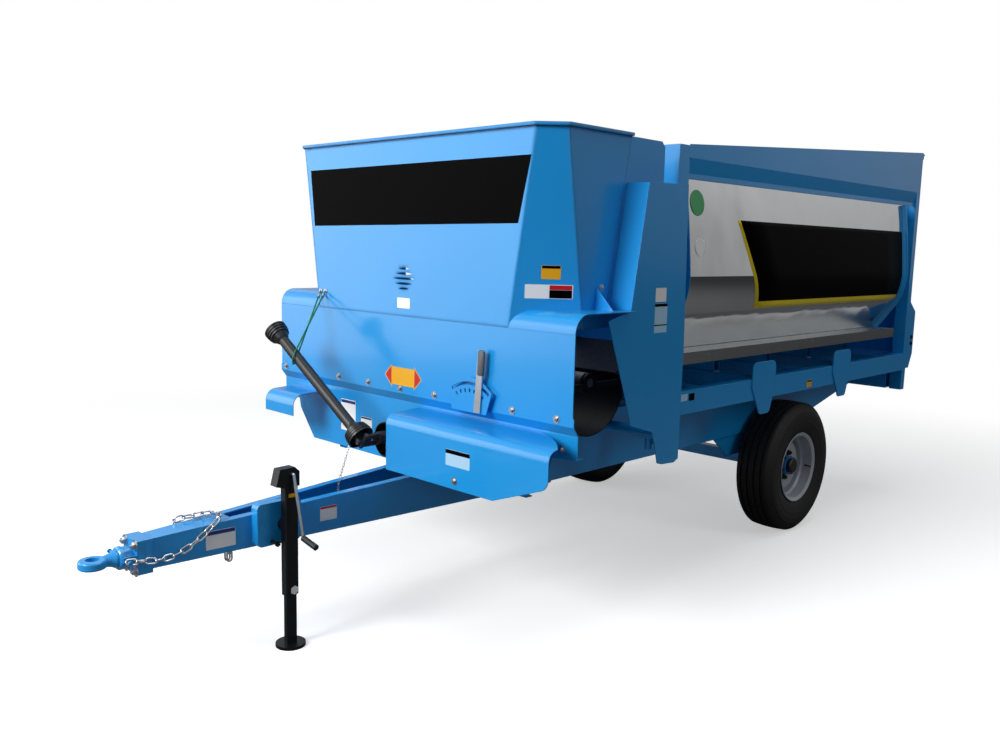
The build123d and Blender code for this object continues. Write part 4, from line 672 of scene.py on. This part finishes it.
for name, face, (x, y), width, height, ground, bands in LABELS:
    flat_sheet(name, face, centred(width, height, x, y), FILM, ground, round_by=0.004)
    for index, (finish, (u, v, share_x, share_y)) in enumerate(bands):
        band = centred(width * share_x, height * share_y, x + u * width, y + v * height)
        flat_sheet(f"{name}_band_{index + 1}", face, band, 2 * FILM, finish)

# Sign with an arrow head at each end
SIGN_Z, SIGN_HALF, SIGN_NECK, SIGN_HEAD, SIGN_BODY = 1.083, 0.140, 0.084, 0.056, 0.044
SIGN = [(-SIGN_HALF, SIGN_Z), (-SIGN_NECK, SIGN_Z - SIGN_HEAD), (-SIGN_NECK, SIGN_Z - SIGN_BODY),
        (SIGN_NECK, SIGN_Z - SIGN_BODY), (SIGN_NECK, SIGN_Z - SIGN_HEAD), (SIGN_HALF, SIGN_Z),
        (SIGN_NECK, SIGN_Z + SIGN_HEAD), (SIGN_NECK, SIGN_Z + SIGN_BODY), (-SIGN_NECK, SIGN_Z + SIGN_BODY),
        (-SIGN_NECK, SIGN_Z + SIGN_HEAD)]
flat_sheet("arrow_sign", FRONT_FACE, SIGN, FILM, VINYL_AMBER)
for side, hand in ((1, "left"), (-1, "right")):
    head = [(side * (SIGN_HALF - 0.007), SIGN_Z), (side * (SIGN_NECK + 0.004), SIGN_Z + SIGN_HEAD - 0.010),
            (side * (SIGN_NECK + 0.004), SIGN_Z - SIGN_HEAD + 0.010)]
    flat_sheet(f"arrow_sign_head_{hand}", FRONT_FACE, head[::side], 2 * FILM, VINYL_RED)

# Black band across the housing's front
BANNER = [(-0.745, 1.808), (0.748, 1.820), (0.814, 2.098), (-0.779, 2.096)]
flat_sheet("front_banner", FRONT_FACE, BANNER, FILM, VINYL_BLACK)

# Side banner on the tub's bulging skin: black with a yellow border along its front and lower edges
# Points of the skin as x and z: the upper arc runs from the top to the side, the lower one on to the hip
TUB_TOP, TUB_MIDDLE, TUB_SIDE = (0.937, 2.060), (0.968, 1.800), (0.985, 1.600)
TUB_TURN, TUB_HIP = (0.973, 1.5075), (0.938, 1.415)


def arc_x(z, a, b, c):
    """The x at height z on the circle through three points of x and z, its side away from the middle."""
    (x1, z1), (x2, z2), (x3, z3) = a, b, c
    det = 2 * (x1 * (z2 - z3) + x2 * (z3 - z1) + x3 * (z1 - z2))
    s1, s2, s3 = x1 * x1 + z1 * z1, x2 * x2 + z2 * z2, x3 * x3 + z3 * z3
    cx = (s1 * (z2 - z3) + s2 * (z3 - z1) + s3 * (z1 - z2)) / det
    cz = (s1 * (x3 - x2) + s2 * (x1 - x3) + s3 * (x2 - x1)) / det
    radius = math.hypot(x1 - cx, z1 - cz)
    return cx + math.copysign(math.sqrt(radius * radius - (z - cz) ** 2), x1 - cx)


def skin_x(z):
    """The skin's half width at a height above the hip."""
    if z >= TUB_SIDE[1]:
        return arc_x(z, TUB_TOP, TUB_MIDDLE, TUB_SIDE)
    return arc_x(z, TUB_SIDE, TUB_TURN, TUB_HIP)


def skin_film(name, outline_rows, lift, finish, side=1):
    """A film on the tub's side from rows of a height and the film's front and rear there."""
    mesh = bmesh.new()
    rows = [[mesh.verts.new(at(side * (skin_x(z) + lift), front + (rear - front) * k / 8, z))
             for k in range(9)] for z, front, rear in outline_rows]
    for lower, upper in zip(rows, rows[1:]):
        for k in range(8):
            mesh.faces.new((lower[k], lower[k + 1], upper[k + 1], upper[k]))
    if side < 0:
        bmesh.ops.reverse_faces(mesh, faces=mesh.faces[:])
    piece = new_piece(name, mesh, finish, smooth=True)
    thick = piece.modifiers.new("film", "SOLIDIFY")
    thick.thickness, thick.offset = FILM, 1.0
    return piece


def slanted_rows(low_z, high_z, low_front, high_front, rear, steps=20):
    return [(low_z + (high_z - low_z) * k / steps, low_front + (high_front - low_front) * k / steps, rear)
            for k in range(steps + 1)]


def round_rows(back, z, radius, steps=24):
    """Rows of a round sticker, from its foot to its top."""
    rows = []
    for k in range(steps + 1):
        turn = math.pi * (k / steps - 0.5)
        half = radius * max(math.cos(turn), 0.02)
        rows.append((z + radius * math.sin(turn), back - half, back + half))
    return rows


BANNER_TOP, BANNER_REAR = 1.882, 3.530
for side, hand in ((1, "left"), (-1, "right")):
    border = slanted_rows(1.425, BANNER_TOP, 1.640, 1.400, BANNER_REAR)
    skin_film(f"side_banner_border_{hand}", border, 0.0006, VINYL_YELLOW, side)
    middle = slanted_rows(1.462, BANNER_TOP, 1.655, 1.425, BANNER_REAR)
    skin_film(f"side_banner_{hand}", middle, 0.0014, VINYL_BLACK, side)
skin_film("green_sticker", round_rows(1.028, 1.951, 0.062), 0.0006, VINYL_GREEN)
skin_film("white_sticker", round_rows(1.040, 1.742, 0.046), 0.0006, VINYL_WHITE)


# Gate lever's grip and the jack's plate, sticker and locking pin
GRIP_SHARE, GRIP_END, GRIP_WIDE = 0.40, 0.030, 0.040     # share of the lever's height, widths of the grip
GRIP_SIDES, GRIP_LEAN, GRIP_OFF = 20, 0.020, 0.008


def build_lever_grip():
    low, high = (Vector(corner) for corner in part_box("gate_lever"))
    foot_z = high.z - GRIP_SHARE * (high.z - low.z)
    lean = GRIP_LEAN * (1 - GRIP_SHARE) / (high.z - low.z)
    middle_x, middle_y = (low.x + high.x) / 2 + GRIP_OFF, (low.y + high.y) / 2
    mesh = bmesh.new()
    rings = []
    for z, wide, deep in ((foot_z, GRIP_END, 0.016), (foot_z + 0.006, GRIP_WIDE, 0.020),
                          (high.z - 0.006, GRIP_WIDE, 0.020), (high.z, GRIP_END, 0.014)):
        x = middle_x + lean * (z - foot_z)
        turns = [2 * math.pi * k / GRIP_SIDES for k in range(GRIP_SIDES)]
        rings.append([mesh.verts.new((x + wide / 2 * math.cos(turn), middle_y + deep / 2 * math.sin(turn), z))
                      for turn in turns])
    for ring, after in zip(rings, rings[1:]):
        for k in range(GRIP_SIDES):
            mesh.faces.new((ring[k], ring[(k + 1) % GRIP_SIDES], after[(k + 1) % GRIP_SIDES], after[k]))
    mesh.faces.new(rings[0][::-1])
    mesh.faces.new(rings[-1])
    smooth_faces(new_piece("lever_grip", mesh, GRIP_GREY), 40)


build_lever_grip()
JACK_BACK = -0.742
JACK_SIDE = face_frame(at(0.193, 0, 0), (0, 1, 0), (0, 0, 1))
flat_sheet("jack_plate", JACK_SIDE, centred(0.030, 0.016, -0.752, 0.668), FILM, VINYL_AMBER, "jack")
STICKER_Z, STICKER_R = 0.250, 0.020
SIXTHS = [math.radians(30 + 60 * k) for k in range(6)]
HEX = [(JACK_BACK + STICKER_R * math.cos(turn), STICKER_Z + STICKER_R * math.sin(turn)) for turn in SIXTHS]
flat_sheet("jack_sticker", JACK_SIDE, HEX, FILM, VINYL_WHITE, "jack")


def build_locking_pin(back=-0.806, z=0.462):
    mesh = bmesh.new()
    add_bar(mesh, at(0.1225, back, z), at(0.165, back, z), 0.008)
    add_bar(mesh, at(0.165, back, z), at(0.172, back, z), 0.013, sides=6)
    new_piece("jack_locking_pin", mesh, JACK_BLACK)


build_locking_pin()


# Stage: pale floor, white surroundings, soft lamps. Each lamp is name, place, target, width and watts
LAMPS = [("key_lamp", (-0.5, -8.5, 5.0), (0, -0.6, 1.2), 4.0, 640),
         ("broad_lamp", (-7.0, -7.0, 2.8), (0, -1.0, 1.3), 8.0, 330),
         ("top_lamp", (0.5, 0.5, 7.0), (0, 0, 1.5), 5.0, 170),
         ("side_lamp", (7.0, 2.0, 4.5), (0.9, 0.8, 1.2), 3.0, 60)]
FLOOR_REACH, SHADOW_REACH, WHITE_FROM = 60.0, 3.2, 7.0


def pale_paper():
    """White studio paper: it shows white with a soft shadow, and far from the wagon it is plain white.
    In what the wagon mirrors it is the grey of a yard."""
    paper = bpy.data.materials.new("pale_paper")
    paper.use_nodes = True
    tree = paper.node_tree
    tree.nodes.clear()
    seen = add_node(tree, "ShaderNodeLightPath").outputs["Is Camera Ray"]
    place = add_node(tree, "ShaderNodeTexCoord").outputs["Object"]
    out = add_node(tree, "ShaderNodeVectorMath", {0: place}, operation="LENGTH").outputs["Value"]
    far = add_node(tree, "ShaderNodeMapRange", {0: out, 1: SHADOW_REACH, 2: WHITE_FROM},
                   interpolation_type="SMOOTHSTEP").outputs[0]
    shade = blend(tree, seen, srgb("#7c7d7f"), srgb("#e9eaeb"))
    matt = add_node(tree, "ShaderNodeBsdfDiffuse", {"Color": shade}).outputs[0]
    lift = add_node(tree, "ShaderNodeEmission", {"Color": srgb("#ffffff"),
                                                 "Strength": spread(tree, seen, 0.0, 0.46)})
    near = add_node(tree, "ShaderNodeAddShader", {0: matt, 1: lift.outputs[0]}).outputs[0]
    white = add_node(tree, "ShaderNodeEmission", {"Color": srgb("#ffffff"), "Strength": 1.0}).outputs[0]
    share = add_node(tree, "ShaderNodeMath", {0: far, 1: seen}, operation="MULTIPLY").outputs[0]
    both = add_node(tree, "ShaderNodeMixShader", {0: share, 1: near, 2: white})
    add_node(tree, "ShaderNodeOutputMaterial", {"Surface": both.outputs[0]})
    return paper


def white_studio():
    """Surroundings: white to the camera, dim on matt surfaces, and in mirrors a pale uneven light,
    duller near the ground."""
    world = bpy.data.worlds.new("white_studio")
    world.use_nodes = True
    tree = world.node_tree
    tree.nodes.clear()
    path = add_node(tree, "ShaderNodeLightPath")
    ray = add_node(tree, "ShaderNodeTexCoord").outputs["Generated"]
    height = add_node(tree, "ShaderNodeSeparateXYZ", {0: ray}).outputs["Z"]
    fall = add_node(tree, "ShaderNodeMapRange", {0: height, 1: -0.02, 2: 0.40, 3: 0.16, 4: 0.75}).outputs[0]
    cloud = add_node(tree, "ShaderNodeTexNoise", {"Vector": ray, "Scale": 2.4, "Detail": 1.5}).outputs[0]
    cloud = add_node(tree, "ShaderNodeMapRange", {0: cloud, 1: 0.40, 2: 0.60, 3: 0.45, 4: 1.0},
                     interpolation_type="SMOOTHSTEP").outputs[0]
    uneven = add_node(tree, "ShaderNodeMath", {0: fall, 1: cloud}, operation="MULTIPLY").outputs[0]
    mirrored = add_node(tree, "ShaderNodeMath", {0: uneven, 1: path.outputs["Is Glossy Ray"]},
                        operation="MULTIPLY")
    level = spread(tree, path.outputs["Is Camera Ray"], 0.16, 1.0)
    level = add_node(tree, "ShaderNodeMath", {0: level, 1: mirrored.outputs[0]}, operation="ADD").outputs[0]
    sky = add_node(tree, "ShaderNodeBackground", {"Color": srgb("#ffffff"), "Strength": level})
    add_node(tree, "ShaderNodeOutputWorld", {"Surface": sky.outputs[0]})
    return world


def build_stage():
    scene = bpy.context.scene
    scene.view_settings.view_transform = "Standard"
    floor_mesh = bpy.data.meshes.new("floor")
    corners = [(x * FLOOR_REACH, y * FLOOR_REACH, 0) for x, y in ((-1, -1), (1, -1), (1, 1), (-1, 1))]
    floor_mesh.from_pydata(corners, [], [(0, 1, 2, 3)])
    floor = bpy.data.objects.new("floor", floor_mesh)
    scene.collection.objects.link(floor)
    floor_mesh.materials.append(pale_paper())
    scene.world = white_studio()
    for name, place, target, size, power in LAMPS:
        lamp = bpy.data.lights.new(name, "AREA")
        lamp.shape, lamp.size, lamp.energy = "DISK", size, power
        holder = bpy.data.objects.new(name, lamp)
        scene.collection.objects.link(holder)
        holder.location = place
        holder.rotation_euler = (Vector(target) - Vector(place)).to_track_quat("-Z", "Y").to_euler()


build_stage()
